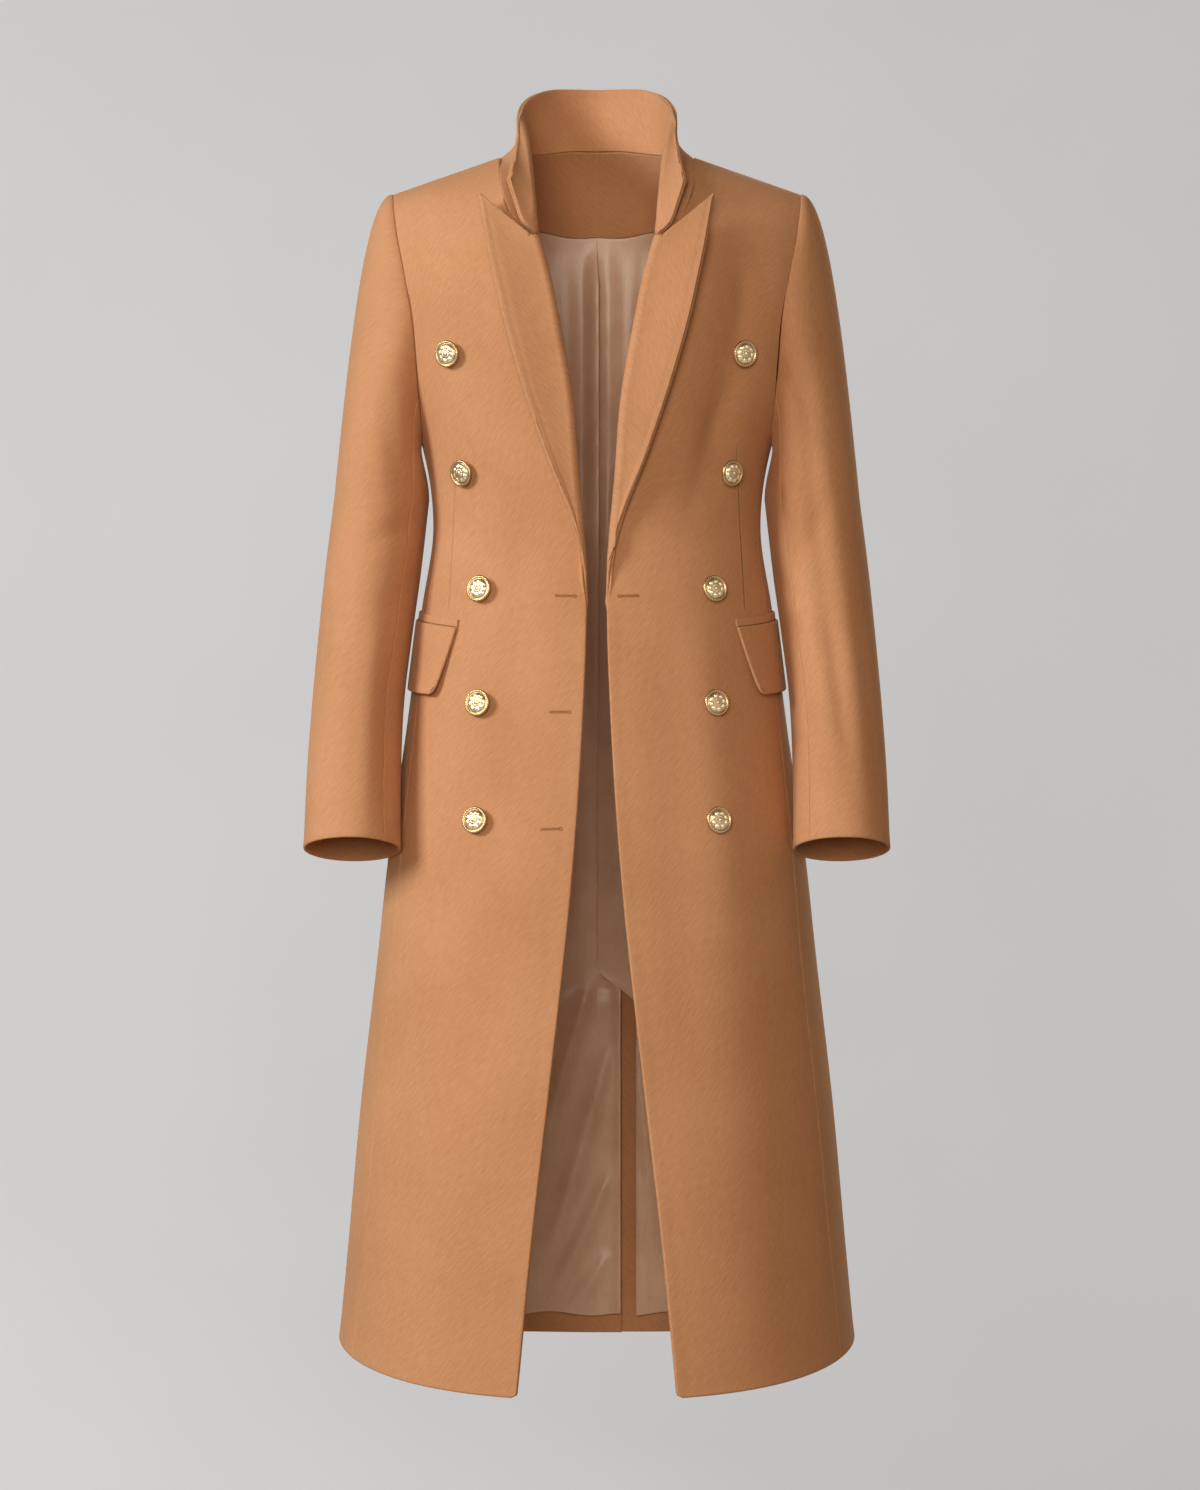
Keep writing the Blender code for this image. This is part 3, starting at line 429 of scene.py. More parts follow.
def roll_turn(roll_height):
    """Angle in radians through which the cloth turns at the roll line."""
    width = np.maximum(lapel_edge(roll_height)[0] - read(FRONT_LINE, "out", roll_height), 0.0)
    return math.pi * np.clip(width / ROLL_WIDTH, 0.0, 1.0)


def cloth_edge(height):
    """Out of the shell's front edge or fold, which lies inside the plies that wrap it."""
    plies = 2.0 * WOOL + PLY_GAP + ROLL_RADIUS
    turned = np.minimum(roll_turn(height), math.pi / 2.0)
    return read(FRONT_LINE, "out", height) + plies * np.sin(turned)


FIRST_HEIGHT = -150.0
PLACE_STEPS = 14


def place(angle, root_drop):
    """Body points from angles and the square root of the drop below the ridge. The ridge's
    height over a point changes with the point's own height, so it is found by steps."""
    height = np.full(np.shape(angle), FIRST_HEIGHT)
    for _ in range(PLACE_STEPS):
        height = ridge(body(angle, height)[..., 0]) - root_drop ** 2
    return body(angle, height)


def edge_line(angle, height):
    """An edge as pairs of angle and root of drop below the ridge."""
    angle, height = np.broadcast_arrays(np.asarray(angle, dtype=float), height)
    drop = np.maximum(ridge(body(angle, height)[..., 0]) - height, 0.0)
    return np.stack([angle, np.sqrt(drop)], axis=-1)


def out_line(out, height, side=-1.0):
    """Edge pairs of a line of distances from the centre and heights."""
    return edge_line(angle_of(out, height, side), height)


def coons(bottom, top, left, right, power=1.0):
    """Fill four edge curves: the sum of both rulings less the bilinear one. The columns
    close up to the right by a power."""
    u = shares(len(bottom), power)[None, :, None]
    v = np.linspace(0.0, 1.0, len(left))[:, None, None]
    ruled_up = (1.0 - v) * bottom[None] + v * top[None]
    ruled_across = (1.0 - u) * left[:, None] + u * right[:, None]
    low = (1.0 - u) * bottom[0] + u * bottom[-1]
    high = (1.0 - u) * top[0] + u * top[-1]
    return ruled_up + ruled_across - (1.0 - v) * low - v * high


def on_shoulder(out, side):
    """Edge pairs along the shoulder seam, which runs on the ridge."""
    return np.stack([angle_of(out, ridge(out), side), np.zeros(len(out))], axis=-1)


def armhole_line(side):
    """Edge pairs of the armhole, from the underarm up: side -1 front, +1 back."""
    out = ARMHOLE["front_out"] if side < 0.0 else ARMHOLE["back_out"]
    line = out_line(out, ARMHOLE["height"], side)
    line[-1, 1] = 0.0
    start = edge_line(read(SIDE_SEAM, "angle", UNDERARM), UNDERARM)
    return np.vstack([start, line])


def between(start, end, share):
    """Values from start to end by shares, for whole columns of ends at once."""
    return np.outer(start, 1.0 - share) + np.outer(end, share)


def front_columns(start, middle, end):
    """Column values over the free part and the faced part, closer near the front edge."""
    free = between(start, middle, shares(FREE_COLUMNS + 1))
    faced = between(middle, end, shares(FACED_COLUMNS + 1, EDGE_CLOSING))
    return np.hstack([free, faced[:, 1:]])


def corner_cut(distance, radius):
    """How far a rounded corner draws an edge in, at a distance from the corner."""
    left = radius - np.minimum(distance, radius)
    return radius - np.sqrt(radius ** 2 - left ** 2)


def low_rows():
    """Levels of a panel's rows below the underarm, one of them exactly at the break."""
    even = np.linspace(HEM_SIDE, UNDERARM, LOW_ROWS + 2 - len(HEM_ROWS))
    rows = np.concatenate([np.add(HEM_SIDE, HEM_ROWS), even[1:]])
    rows[np.argmin(np.abs(rows - BREAK))] = BREAK
    return rows


def front_field():
    """Angles and heights of the front's grid: hem to shoulder, front edge or fold to side."""
    rows = low_rows()
    edge_height = row_height(rows, -90.0)
    edge = cloth_edge(edge_height) + corner_cut(edge_height - edge_height[0], HEM_CORNER)
    side, inner = read(SIDE_SEAM, "angle", rows), angle_of(edge + FACING_WIDTH, edge_height)
    angles = front_columns(side, inner, angle_of(edge, edge_height))
    heights = row_height(rows[:, None], angles)
    roll = UNDERARM + (GORGE - UNDERARM) * shares(HIGH_ROWS // 2 + 1, EDGE_CLOSING)
    roll_line = out_line(cloth_edge(roll), roll)
    neck = out_line(*NECK_FRONT.values())
    neck[-1, 1] = 0.0
    neck = resample(np.vstack([roll_line[-1:], neck]), HIGH_ROWS // 2 + 1)
    bottom = edge_line(angles[-1], UNDERARM)
    outs = front_columns([SHOULDER_POINT], [FACING_ON_SHOULDER], [NECK_POINT])[0]
    left = resample(armhole_line(-1.0), HIGH_ROWS + 1)
    pairs = coons(bottom, on_shoulder(outs, -1.0), left, np.vstack([roll_line, neck[1:]]))
    high = place(pairs[..., 0], np.maximum(pairs[..., 1], 0.0))[1:]
    return (np.vstack([angles, pairs[1:, :, 0]])[:, ::-1],
            np.vstack([heights, high[..., 2]])[:, ::-1])


def back_edge(inner_point, line, power=1.0):
    """Top edge of a back panel: the shoulder seam down to a point on it, then a line of outs
    and heights to the centre back, with its columns closer there by a power."""
    count = round(BACK_COLUMNS * SHOULDER_SHARE)
    shoulder = on_shoulder(np.linspace(SHOULDER_POINT, inner_point, count + 1), 1.0)
    rest = out_line(*line.values(), 1.0)
    rest[0] = shoulder[-1]
    return np.vstack([shoulder, resample(rest, BACK_COLUMNS - count + 1, power)[1:]])


def back_field(rows, top, top_centre, power=1.0):
    """Angles and heights of a back panel's grid: hem to top edge, side to centre back."""
    side_seam = read(SIDE_SEAM, "angle", rows)
    angles = between(side_seam, np.full(len(rows), 90.0), shares(BACK_COLUMNS + 1, power))
    heights = row_height(rows[:, None], angles)
    bottom = edge_line(angles[-1], UNDERARM)
    left = resample(armhole_line(1.0), HIGH_ROWS + 1)
    right = edge_line(90.0, np.linspace(UNDERARM, top_centre, HIGH_ROWS + 1))
    pairs = coons(bottom, top, left, right, power)
    high = place(pairs[..., 0], np.maximum(pairs[..., 1], 0.0))[1:]
    return np.vstack([angles, pairs[1:, :, 0]]), np.vstack([heights, high[..., 2]])


def grid_normals(points):
    """Unit normals of a grid, as the cross product of its two runs of differences."""
    return unit(np.cross(np.gradient(points, axis=1), np.gradient(points, axis=0)))


def run_lengths(points, axis):
    """Length along the rows or columns of a grid from its first line."""
    steps = np.linalg.norm(np.diff(points, axis=axis), axis=-1)
    return np.insert(np.cumsum(steps, axis=axis), 0, 0.0, axis=axis)


def cloth_map(points, grain=0.0):
    """Flat position of each point on the cloth in millimetres: across from the grain line, a
    share of the way along the rows, and up from where its column starts."""
    across = run_lengths(points, 1)
    origin = across[:, round(grain * (points.shape[1] - 1))][:, None]
    return np.stack([across - origin, points[:1, :, 2] + run_lengths(points, 0)], axis=-1)


def panel(field, side):
    """A grid on the coat's surface: the plain form moved along its normals by the drape."""
    angle, height = field
    points = body(angle, height)
    return points + grid_normals(points) * drape(side, angle, height)[..., None]


# ---------------------------------------------------------------- walls of cloth

def weld(patches):
    """Grids joined where their points meet: points, corner numbers of the faces, and which
    of all the grids' points each one is."""
    flat = np.vstack([patch.reshape(-1, 3) for patch in patches])
    _, first, number = np.unique(np.round(flat, 3), axis=0, return_index=True,
                                 return_inverse=True)
    corners, offset = [], 0
    for patch in patches:
        rows, cols = patch.shape[:2]
        ids = offset + np.arange(rows * cols).reshape(rows, cols)
        quads = np.stack([ids[:-1, :-1], ids[:-1, 1:], ids[1:, 1:], ids[1:, :-1]], axis=-1)
        corners.append(quads.reshape(-1, 4))
        offset += rows * cols
    return flat[first], number.reshape(-1)[np.vstack(corners)], first


def split_faces(quads):
    """Quads, and the triangles that are left where two corners of a quad have met."""
    same = quads == np.roll(quads, -1, axis=1)
    whole = quads[~same.any(axis=1)]
    thin = quads[same.sum(axis=1) == 1]
    keep = ~(thin == np.roll(thin, -1, axis=1))
    triangles = thin[keep].reshape(-1, 3)
    proper = ((triangles[:, 0] != triangles[:, 1]) & (triangles[:, 1] != triangles[:, 2])
              & (triangles[:, 2] != triangles[:, 0]))
    return whole, triangles[proper]


def face_sum(points, quads, triangles):
    """Unit normals at the points: the sum of the area vectors of the faces round each."""
    total = np.zeros_like(points)
    for faces, (a, b, c, d) in ((quads, (0, 2, 1, 3)), (triangles, (0, 1, 0, 2))):
        area = np.cross(points[faces[:, b]] - points[faces[:, a]],
                        points[faces[:, d]] - points[faces[:, c]])
        for corner in faces.T:
            np.add.at(total, corner, area)
    return unit(total)


def open_edges(faces, count):
    """Directed edges that only one face uses."""
    edges = np.vstack([np.stack([group[:, at], group[:, (at + 1) % group.shape[1]]], axis=-1)
                       for group in faces for at in range(group.shape[1])])
    code, back = edges[:, 0] * count + edges[:, 1], edges[:, 1] * count + edges[:, 0]
    return edges[~np.isin(code, back)]


def per_point(value, patches, first):
    """One value for each welded point, from a number or from one grid for each patch."""
    if np.isscalar(value):
        return np.full(len(first), float(value))
    grids = [np.broadcast_to(np.asarray(one, float), patch.shape[:2]).ravel()
             for one, patch in zip(value, patches)]
    return np.concatenate(grids)[first]


def room_inside(points, quads, edges):
    """Length of the shortest quad side that leads from each open-edge point inward."""
    on_rim = np.zeros(len(points), dtype=bool)
    on_rim[edges] = True
    room = np.full(len(points), np.inf)
    for at in range(4):
        start, end = quads[:, at], quads[:, (at + 1) % 4]
        length = np.linalg.norm(points[start] - points[end], axis=1)
        length = np.where(on_rim[start] & on_rim[end], np.inf, length)
        np.minimum.at(room, start, length)
        np.minimum.at(room, end, length)
    return room


def wall(patches, near, far, maps):
    """A closed wall under joined grids: the skins lie near and far along the normals, and a
    half round of RIM_STEPS faces joins them at every open edge, inside the grids' outline."""
    points, quads, first = weld(patches)
    quads, triangles = split_faces(quads)
    normal = face_sum(points, quads, triangles)
    near, far = per_point(near, patches, first), per_point(far, patches, first)
    count = len(points)
    edges = open_edges((quads, triangles), count)
    sideways = np.zeros_like(points)
    out = unit(np.cross(points[edges[:, 1]] - points[edges[:, 0]], normal[edges[:, 0]]))
    np.add.at(sideways, edges[:, 0], out)
    np.add.at(sideways, edges[:, 1], out)
    rim = np.unique(edges)
    sideways = unit(sideways[rim])
    radius = 0.5 * (far - near)[rim, None]
    inset = np.minimum(radius, INSET_SHARE * room_inside(points, quads, edges)[rim, None])
    points = points.copy()
    points[rim] -= sideways * inset
    rings = [points[rim] - normal[rim] * (near[rim, None] + radius * (1.0 - math.cos(turn)))
             + sideways * radius * math.sin(turn)
             for turn in np.linspace(0.0, math.pi, RIM_STEPS + 1)[1:-1]]
    skins = [points - normal * near[:, None], points - normal * far[:, None]]
    number = np.zeros(count, dtype=int)
    number[rim] = np.arange(len(rim))
    levels = [np.arange(count)] + [2 * count + step * len(rim) + number
                                   for step in range(RIM_STEPS - 1)] + [count + np.arange(count)]
    start, end = edges.T
    round_edge = [np.stack([high[end], high[start], low[start], low[end]], axis=-1)
                  for high, low in zip(levels[:-1], levels[1:])]
    quads = np.vstack([quads, quads[:, ::-1] + count] + round_edge)
    triangles = np.vstack([triangles, triangles[:, ::-1] + count])
    flat = np.vstack([one.reshape(-1, 2) for one in maps])[first]
    flat = np.vstack([flat, flat] + [flat[rim]] * (RIM_STEPS - 1))
    return np.vstack(skins + rings), quads, triangles, flat


def new_object(name, points, quads, triangles, material):
    """A smooth mesh object in the scene, from points in metres."""
    mesh = bpy.data.meshes.new(name)
    mesh.from_pydata(points.tolist(), [], quads.tolist() + triangles.tolist())
    mesh.polygons.foreach_set("use_smooth", np.ones(len(mesh.polygons), dtype=bool))
    mesh.materials.append(material)
    made = bpy.data.objects.new(name, mesh)
    bpy.context.scene.collection.objects.link(made)
    return made


def add_map(piece, name, flat):
    """Give a piece a named UV map, from a pair of numbers for each of its points."""
    corner = np.empty(len(piece.data.loops), dtype=np.int32)
    piece.data.loops.foreach_get("vertex_index", corner)
    layer = piece.data.uv_layers.new(name=name)
    layer.data.foreach_set("uv", flat[corner].ravel())


def add_piece(name, mesh_data, material, nodes=(), side=1.0):
    """Make one piece, tie it to the coat and hide the CAD nodes that it stands for. The
    right side's is the mirrored left one, and so is its cloth map, which is in metres."""
    points, quads, triangles, flat = mesh_data
    if side < 0.0:
        quads, triangles = quads[:, ::-1], triangles[:, ::-1]
    piece = new_object(name, points * (side * MM, MM, MM), quads, triangles, material)
    if flat is not None:
        add_map(piece, "cloth", flat * (side * MM, MM))
    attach(piece, "root")
    if nodes:
        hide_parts(*nodes)
    return piece


def cloth_piece(name, mesh_data, material, side=1.0):
    """Make the cloth piece that stands for the CAD node of its name."""
    piece = add_piece(f"{name}_cloth", mesh_data, material, [name], side)
    return piece


# ---------------------------------------------------------------- materials

def linear(hex_colour):
    """sRGB hex to linear colour with alpha."""
    parts = [int(hex_colour[at:at + 2], 16) / 255.0 for at in (0, 2, 4)]
    return [c / 12.92 if c <= 0.04045 else ((c + 0.055) / 1.055) ** 2.4 for c in parts] + [1.0]


def node(tree, kind, settings, **inputs):
    """Add a node with its settings; inputs are values, or sockets to link. An underscore
    stands for a space in an input's name, and a trailing number picks the input by place."""
    one = tree.nodes.new(kind)
    for name, value in settings.items():
        setattr(one, name, value)
    for name, value in inputs.items():
        key = int(name[1:]) if name[1:].isdigit() else name.replace("_", " ")
        socket = one.inputs[key]
        if isinstance(value, bpy.types.NodeSocket):
            tree.links.new(value, socket)
        else:
            socket.default_value = value
    return one


def new_material(name, **shader_values):
    """A Principled material with constants on its sockets: the material's tree and shader."""
    material = bpy.data.materials.new(name)
    material.use_nodes = True
    shader = material.node_tree.nodes["Principled BSDF"]
    for socket, value in shader_values.items():
        shader.inputs[socket.replace("_", " ")].default_value = value
    return material, material.node_tree, shader


TWILL_SPACING = 0.0021            # coarser than the real 1.5 mm, so that it shows
TWILL_RUN = 0.011                 # length over which one twill line stays in sight
TWILL_RISE = 50.0                 # degrees by which the lines rise
FIBRE = 0.0012                    # size of the nap's flecks
CLOUD = 0.11                      # size of the faint shade changes of a pressed cloth
DART_HALF = 0.0009                # half width of the valley at a dart's seam
DART_DEPTH = 0.0024               # its depth where its dart value is 1
DART_FADES = (0.15, 0.97)         # shares of its length at which it is full and begins to end
# colour of the painted shade in a dart's valley
DART_PAINTED_SHADE = "5E3A20"
COLOUR_MIX = {"data_type": "RGBA"}   # a mix whose inputs 6 and 7 are its colours
NUMBER_MIX = {"data_type": "FLOAT"}


def wool_material(name, dark, light, dart=0.0):
    """Camel melton: fulled twill with a short brushed nap. It gives a matt cloth with faint
    broken diagonal lines, fine flecks and a pale bloom where it turns away. A darted cloth
    also has a fine valley along its "dart" map, whose U runs across and V along the seam,
    with painted shade in it as dark as dart says."""
    material, tree, shader = new_material(
        name, Roughness=0.88, Sheen_Weight=0.28, Sheen_Roughness=0.42,
        Sheen_Tint=linear("F1D3AE"), Specular_IOR_Level=0.22)
    cloth = node(tree, "ShaderNodeUVMap", {"uv_map": "cloth"}).outputs["UV"]
    turned = node(tree, "ShaderNodeMapping", {"vector_type": "TEXTURE"}, Vector=cloth,
                  Rotation=(0.0, 0.0, math.radians(TWILL_RISE)),
                  Scale=(TWILL_RUN, TWILL_SPACING, 1.0))
    twill = node(tree, "ShaderNodeTexNoise", {}, Vector=turned.outputs[0], Scale=1.0, Detail=2.0)
    fibre = node(tree, "ShaderNodeTexNoise", {}, Vector=cloth, Scale=1.0 / FIBRE, Detail=3.0,
                 Roughness=0.65)
    cloud = node(tree, "ShaderNodeTexNoise", {}, Vector=cloth, Scale=1.0 / CLOUD, Detail=2.0)
    lines = node(tree, "ShaderNodeMix", NUMBER_MIX, Factor=0.5, A=twill.outputs["Fac"],
                 B=fibre.outputs["Fac"])
    shade = node(tree, "ShaderNodeMix", NUMBER_MIX, Factor=0.3, A=lines.outputs[0],
                 B=cloud.outputs["Fac"])
    spread = node(tree, "ShaderNodeMapRange", {}, Value=shade.outputs[0], From_Min=0.36,
                  From_Max=0.64)
    colour = node(tree, "ShaderNodeMix", COLOUR_MIX, Factor=spread.outputs[0],
                  _6=linear(dark), _7=linear(light))
    bump = node(tree, "ShaderNodeBump", {}, Height=lines.outputs[0], Strength=0.6,
                Distance=0.0005)
    face, normal = colour.outputs[2], bump.outputs[0]
    if dart:
        face, normal = dart_seam(tree, face, normal, dart)
    tree.links.new(face, shader.inputs["Base Color"])
    tree.links.new(normal, shader.inputs["Normal"])
    return material


def dart_seam(tree, face, normal, dart):
    """A waist dart's seam, over a face colour and a normal: a valley, smooth across and faded
    at both ends, which dents the cloth and darkens its colour with painted shade."""
    seam = node(tree, "ShaderNodeUVMap", {"uv_map": "dart"}).outputs["UV"]
    split = node(tree, "ShaderNodeSeparateXYZ", {}, Vector=seam)
    away = node(tree, "ShaderNodeMath", {"operation": "ABSOLUTE"}, _0=split.outputs["X"])
    near = node(tree, "ShaderNodeMapRange", {"interpolation_type": "SMOOTHSTEP"},
                Value=away.outputs[0], From_Max=DART_HALF, To_Min=1.0, To_Max=0.0)
    start = node(tree, "ShaderNodeMapRange", {}, Value=split.outputs["Y"],
                 From_Max=DART_FADES[0])
    end = node(tree, "ShaderNodeMapRange", {}, Value=split.outputs["Y"], From_Min=DART_FADES[1],
               From_Max=1.0, To_Min=1.0, To_Max=0.0)
    valley = start
    for part in (end, near):
        valley = node(tree, "ShaderNodeMath", {"operation": "MULTIPLY"}, _0=valley.outputs[0],
                      _1=part.outputs[0])
    dent = node(tree, "ShaderNodeBump", {"invert": True}, Height=valley.outputs[0],
                Normal=normal, Strength=1.0, Distance=DART_DEPTH * dart)
    shadow = node(tree, "ShaderNodeMath", {"operation": "MULTIPLY"}, _0=valley.outputs[0],
                  _1=dart)
    # painted shade: the face colour darkened in the dart's valley
    painted_shade = node(tree, "ShaderNodeMix", COLOUR_MIX, Factor=shadow.outputs[0], _6=face,
               _7=linear(DART_PAINTED_SHADE))
    return painted_shade.outputs[2], dent.outputs[0]


FLOAT_WIDTH = 0.0012              # drawn coarser than the real 0.1 mm, so that it shows
FLOAT_STRETCH = 0.12              # width of a satin float for its length
SATIN_CLOUD = 0.05                # size of its faint shade changes


def satin_material(name, dark, light):
    """Taupe viscose satin: long floats give a smooth face with a soft broad sheen."""
    material, tree, shader = new_material(
        name, Roughness=0.38, Sheen_Weight=0.25, Sheen_Roughness=0.35,
        Sheen_Tint=linear("E6D6C8"), Specular_IOR_Level=0.5)
    cloth = node(tree, "ShaderNodeUVMap", {"uv_map": "cloth"}).outputs["UV"]
    grain = node(tree, "ShaderNodeMapping", {}, Vector=cloth, Scale=(1.0, FLOAT_STRETCH, 1.0))
    floats = node(tree, "ShaderNodeTexNoise", {}, Vector=grain.outputs[0],
                  Scale=1.0 / FLOAT_WIDTH, Detail=2.0)
    cloud = node(tree, "ShaderNodeTexNoise", {}, Vector=cloth, Scale=1.0 / SATIN_CLOUD,
                 Detail=2.0)
    shade = node(tree, "ShaderNodeMix", NUMBER_MIX, Factor=0.6, A=floats.outputs["Fac"],
                 B=cloud.outputs["Fac"])
    spread = node(tree, "ShaderNodeMapRange", {}, Value=shade.outputs[0], From_Min=0.3,
                  From_Max=0.7)
    colour = node(tree, "ShaderNodeMix", COLOUR_MIX, Factor=spread.outputs[0],
                  _6=linear(dark), _7=linear(light))
    bump = node(tree, "ShaderNodeBump", {}, Height=floats.outputs["Fac"], Strength=0.2,
                Distance=0.0002)
    tree.links.new(colour.outputs[2], shader.inputs["Base Color"])
    tree.links.new(bump.outputs[0], shader.inputs["Normal"])
    return material


GRIT = 0.0012                     # size of the gilt's duller and brighter specks


def gilt_material(name, hollow, raised_work):
    """Die-struck gilt brass, with painted shade: bright on the raised work, browner in the hollows.
    """
    material, tree, shader = new_material(name, Metallic=1.0, Roughness=0.24)
    raised = node(tree, "ShaderNodeAttribute", {"attribute_name": "raised"})
    # painted shade: the hollows' brown mixed to the raised work's bright by the raised attribute
    hollow_shade = node(tree, "ShaderNodeMix", COLOUR_MIX, Factor=raised.outputs["Fac"],
                _6=linear(hollow), _7=linear(raised_work))
    place_of = node(tree, "ShaderNodeTexCoord", {}).outputs["Object"]
    grit = node(tree, "ShaderNodeTexNoise", {}, Vector=place_of, Scale=1.0 / GRIT, Detail=2.0)
    rough = node(tree, "ShaderNodeMapRange", {}, Value=grit.outputs["Fac"], To_Min=0.24,
                 To_Max=0.4)
    tree.links.new(hollow_shade.outputs[2], shader.inputs["Base Color"])
    tree.links.new(rough.outputs[0], shader.inputs["Roughness"])
    return material


CAMEL = ("BB8258", "CF976D")
WOOL_FACE = wool_material("camel_melton_wool", *CAMEL)
# The two fronts' darts differ in how deep their valleys are and how dark their painted shade is
DARTED_FACES = {side: wool_material(f"camel_melton_wool_darted_{side}", *CAMEL, dart)
                for side, dart in (("right", 0.16), ("left", 0.4))}
SATIN_FACE = satin_material("taupe_viscose_satin", "D0A68A", "E6C2A4")
# the darker colour is painted shade in the buttons' hollows
GILT = gilt_material("gilt_struck_brass", "A07C4A", "F2DDB4")
THREAD = wool_material("camel_buttonhole_twist", "9A6539", "B98450")


# ---------------------------------------------------------------- fronts, facings and backs

DART_START = np.array((132.6, -280.0))   # out and height of the waist dart's upper end
DART_END = np.array((141.0, -440.0))     # and of its lower end, under the pocket's jet
FRONT_GRAIN = 0.6         # share of the front's columns at which its grain line lies
LAPEL_ROLL = 12           # columns round the roll
LAPEL_FLAT = 34           # and over the lapel
LAPEL_RISE = 1.5          # power of the way by which the lapel rises to its outer edge
CURLED = (20.0, 45.0)     # lapel widths between which the curl of its edge comes in
PUFF = 0.5                # extra thickness of a turned edge
PUFF_ENDS = (6.0, 10.0)   # distances from the edge between which it ends
HEM_PUFF = 0.6            # share of it at a hem


def edge_puff(distance):
    """Extra thickness of a turned edge, at a distance from it."""
    return PUFF * (1.0 - smooth(distance, *PUFF_ENDS))


def hem_puff(flat):
    """The fuller edge of a turned-up hem, from the cloth map."""
    return HEM_PUFF * edge_puff(flat[..., 1] - flat[:1, :, 1])


def lapel_grid(side, fold, heights):
    """The cloth past the fold: round the roll as a half circle, then back over the front,
    rising by a power of the way to the outer edge, which curls down a little."""
    row = heights[:, None]
    start = cloth_edge(row)
    base = fold[:, None]
    normal = normals(body, angle_of(start, row), row)
    forward = unit(np.cross(normal, (0.0, 0.0, 1.0)))
    forward = forward * np.where(forward[..., :1] > 0.0, -1.0, 1.0)
    turned = (roll_turn(row) * np.linspace(0.0, 1.0, LAPEL_ROLL + 1))[..., None]
    roll = base + ROLL_RADIUS * (normal * (1.0 - np.cos(turned)) + forward * np.sin(turned))
    edge_out, edge_height = lapel_edge(row)
    width = np.hypot(edge_out - start, edge_height - row)
    last = np.minimum(EDGE_ROOM / np.maximum(width, EDGE_ROOM), 0.5)
    share = np.linspace(0.0, 1.0, LAPEL_FLAT)[None, 1:] * (1.0 - last)
    share = np.hstack([share, np.ones_like(last)])
    below_peak = np.hypot(edge_out - edge_out[-1], edge_height - edge_height[-1])
    share = share * (1.0 - corner_cut(below_peak, PEAK_CORNER) / np.maximum(width, PEAK_CORNER))
    out = start + (edge_out - start) * share
    height = row + (edge_height - row) * share
    rise = np.minimum(LAPEL_LIFT, LAPEL_SLOPE * width) * share ** LAPEL_RISE
    curl = LAPEL_CURL * smooth(width * (1.0 - share), LAPEL_CURL_WIDTH, 0.0)
    lift = 2.0 * ROLL_RADIUS + rise - curl * smooth(width, *CURLED)
    flat = moved_out(side, angle_of(out, height), height, lift, soft_body)
    flat = np.where((roll_turn(row) < math.pi)[..., None], roll[:, -1:], flat)
    return np.hstack([roll, flat])


def dart_map(piece, points):
    """Give a front the map of its waist dart: metres across the seam, and the share of the
    way down it."""
    run = DART_END - DART_START
    length = np.hypot(*run)
    away = np.stack([points[:, 0], points[:, 2]], axis=-1) - DART_START
    across = (away[:, 0] * run[1] - away[:, 1] * run[0]) / length
    add_map(piece, "dart", np.stack([across * MM, away @ run / length ** 2], axis=-1))


def front_pieces(name, side):
    """The front with the lapel's underside, and the facing with the lapel's face."""
    angle, height = front_field()
    front = panel((angle, height), side)
    edge_height = height[:, 0]
    rolled = (edge_height >= BREAK) & (np.arange(len(height)) <= LOW_ROWS + HIGH_ROWS // 2)
    lapel = lapel_grid(side, front[rolled, 0], edge_height[rolled])[:, ::-1]
    flat = cloth_map(front, FRONT_GRAIN)
    lapel_flat = cloth_map(lapel, 1.0)
    lapel_flat[..., 0] += flat[rolled, :1, 0]
    lapel_flat[..., 1] += flat[rolled, :1, 1] - lapel_flat[:, -1:, 1]
    below = edge_height[:, None] < BREAK
    puff = np.maximum(edge_puff(flat[..., 0] - flat[:, :1, 0]) * below, hem_puff(flat))
    near = [-puff, np.zeros(lapel.shape[:2])]
    mesh = wall([front, lapel], near, WOOL, [flat, lapel_flat])
    dart_map(cloth_piece(f"front_{name}", mesh, DARTED_FACES[name], side), mesh[0])
    strip = np.s_[:, :FACED_COLUMNS + 1]
    inner = WOOL + PLY_GAP
    lapel_puff = edge_puff(lapel_flat[..., 0] - lapel_flat[:, :1, 0])
    mesh = wall([front[strip], lapel], inner, [inner + WOOL, inner + WOOL + lapel_puff],
                [flat[strip], lapel_flat])
    cloth_piece(f"facing_{name}", mesh, WOOL_FACE, side)
    lining = front[LINING_HEM_ROWS:, FACED_COLUMNS:]
    lining_piece(f"front_{name}", [lining], side, [0.0 * lining[..., 0]])
    return front


UNDERLAP_EASE = 14.0      # height below the vent's top over which the underlap sinks in
SUNK = (76.0, 90.0)       # angles between which the right back sinks behind the left one


def underlap_depth(height):
    """How far the underlap lies inside the overlap: it eases in below the vent's top."""
    return UNDERLAP_DEPTH * smooth(VENT_TOP - height, 0.0, UNDERLAP_EASE)


def underlap_patch(edge, height, reach):
    """The vent's underlap: the body's own form carried on past the centre back, inside the
    overlap, from the edge of the right back panel, as far as each row reaches."""
    out = reach[:, None] * np.linspace(0.0, 1.0, UNDERLAP_COLUMNS + 1)
    height = height[:, None] + 0.0 * out
    grid = body(180.0 - angle_of(out, height, 1.0), height)
    grid[..., 1] -= underlap_depth(height)
    grid[:, 0] = edge
    return grid


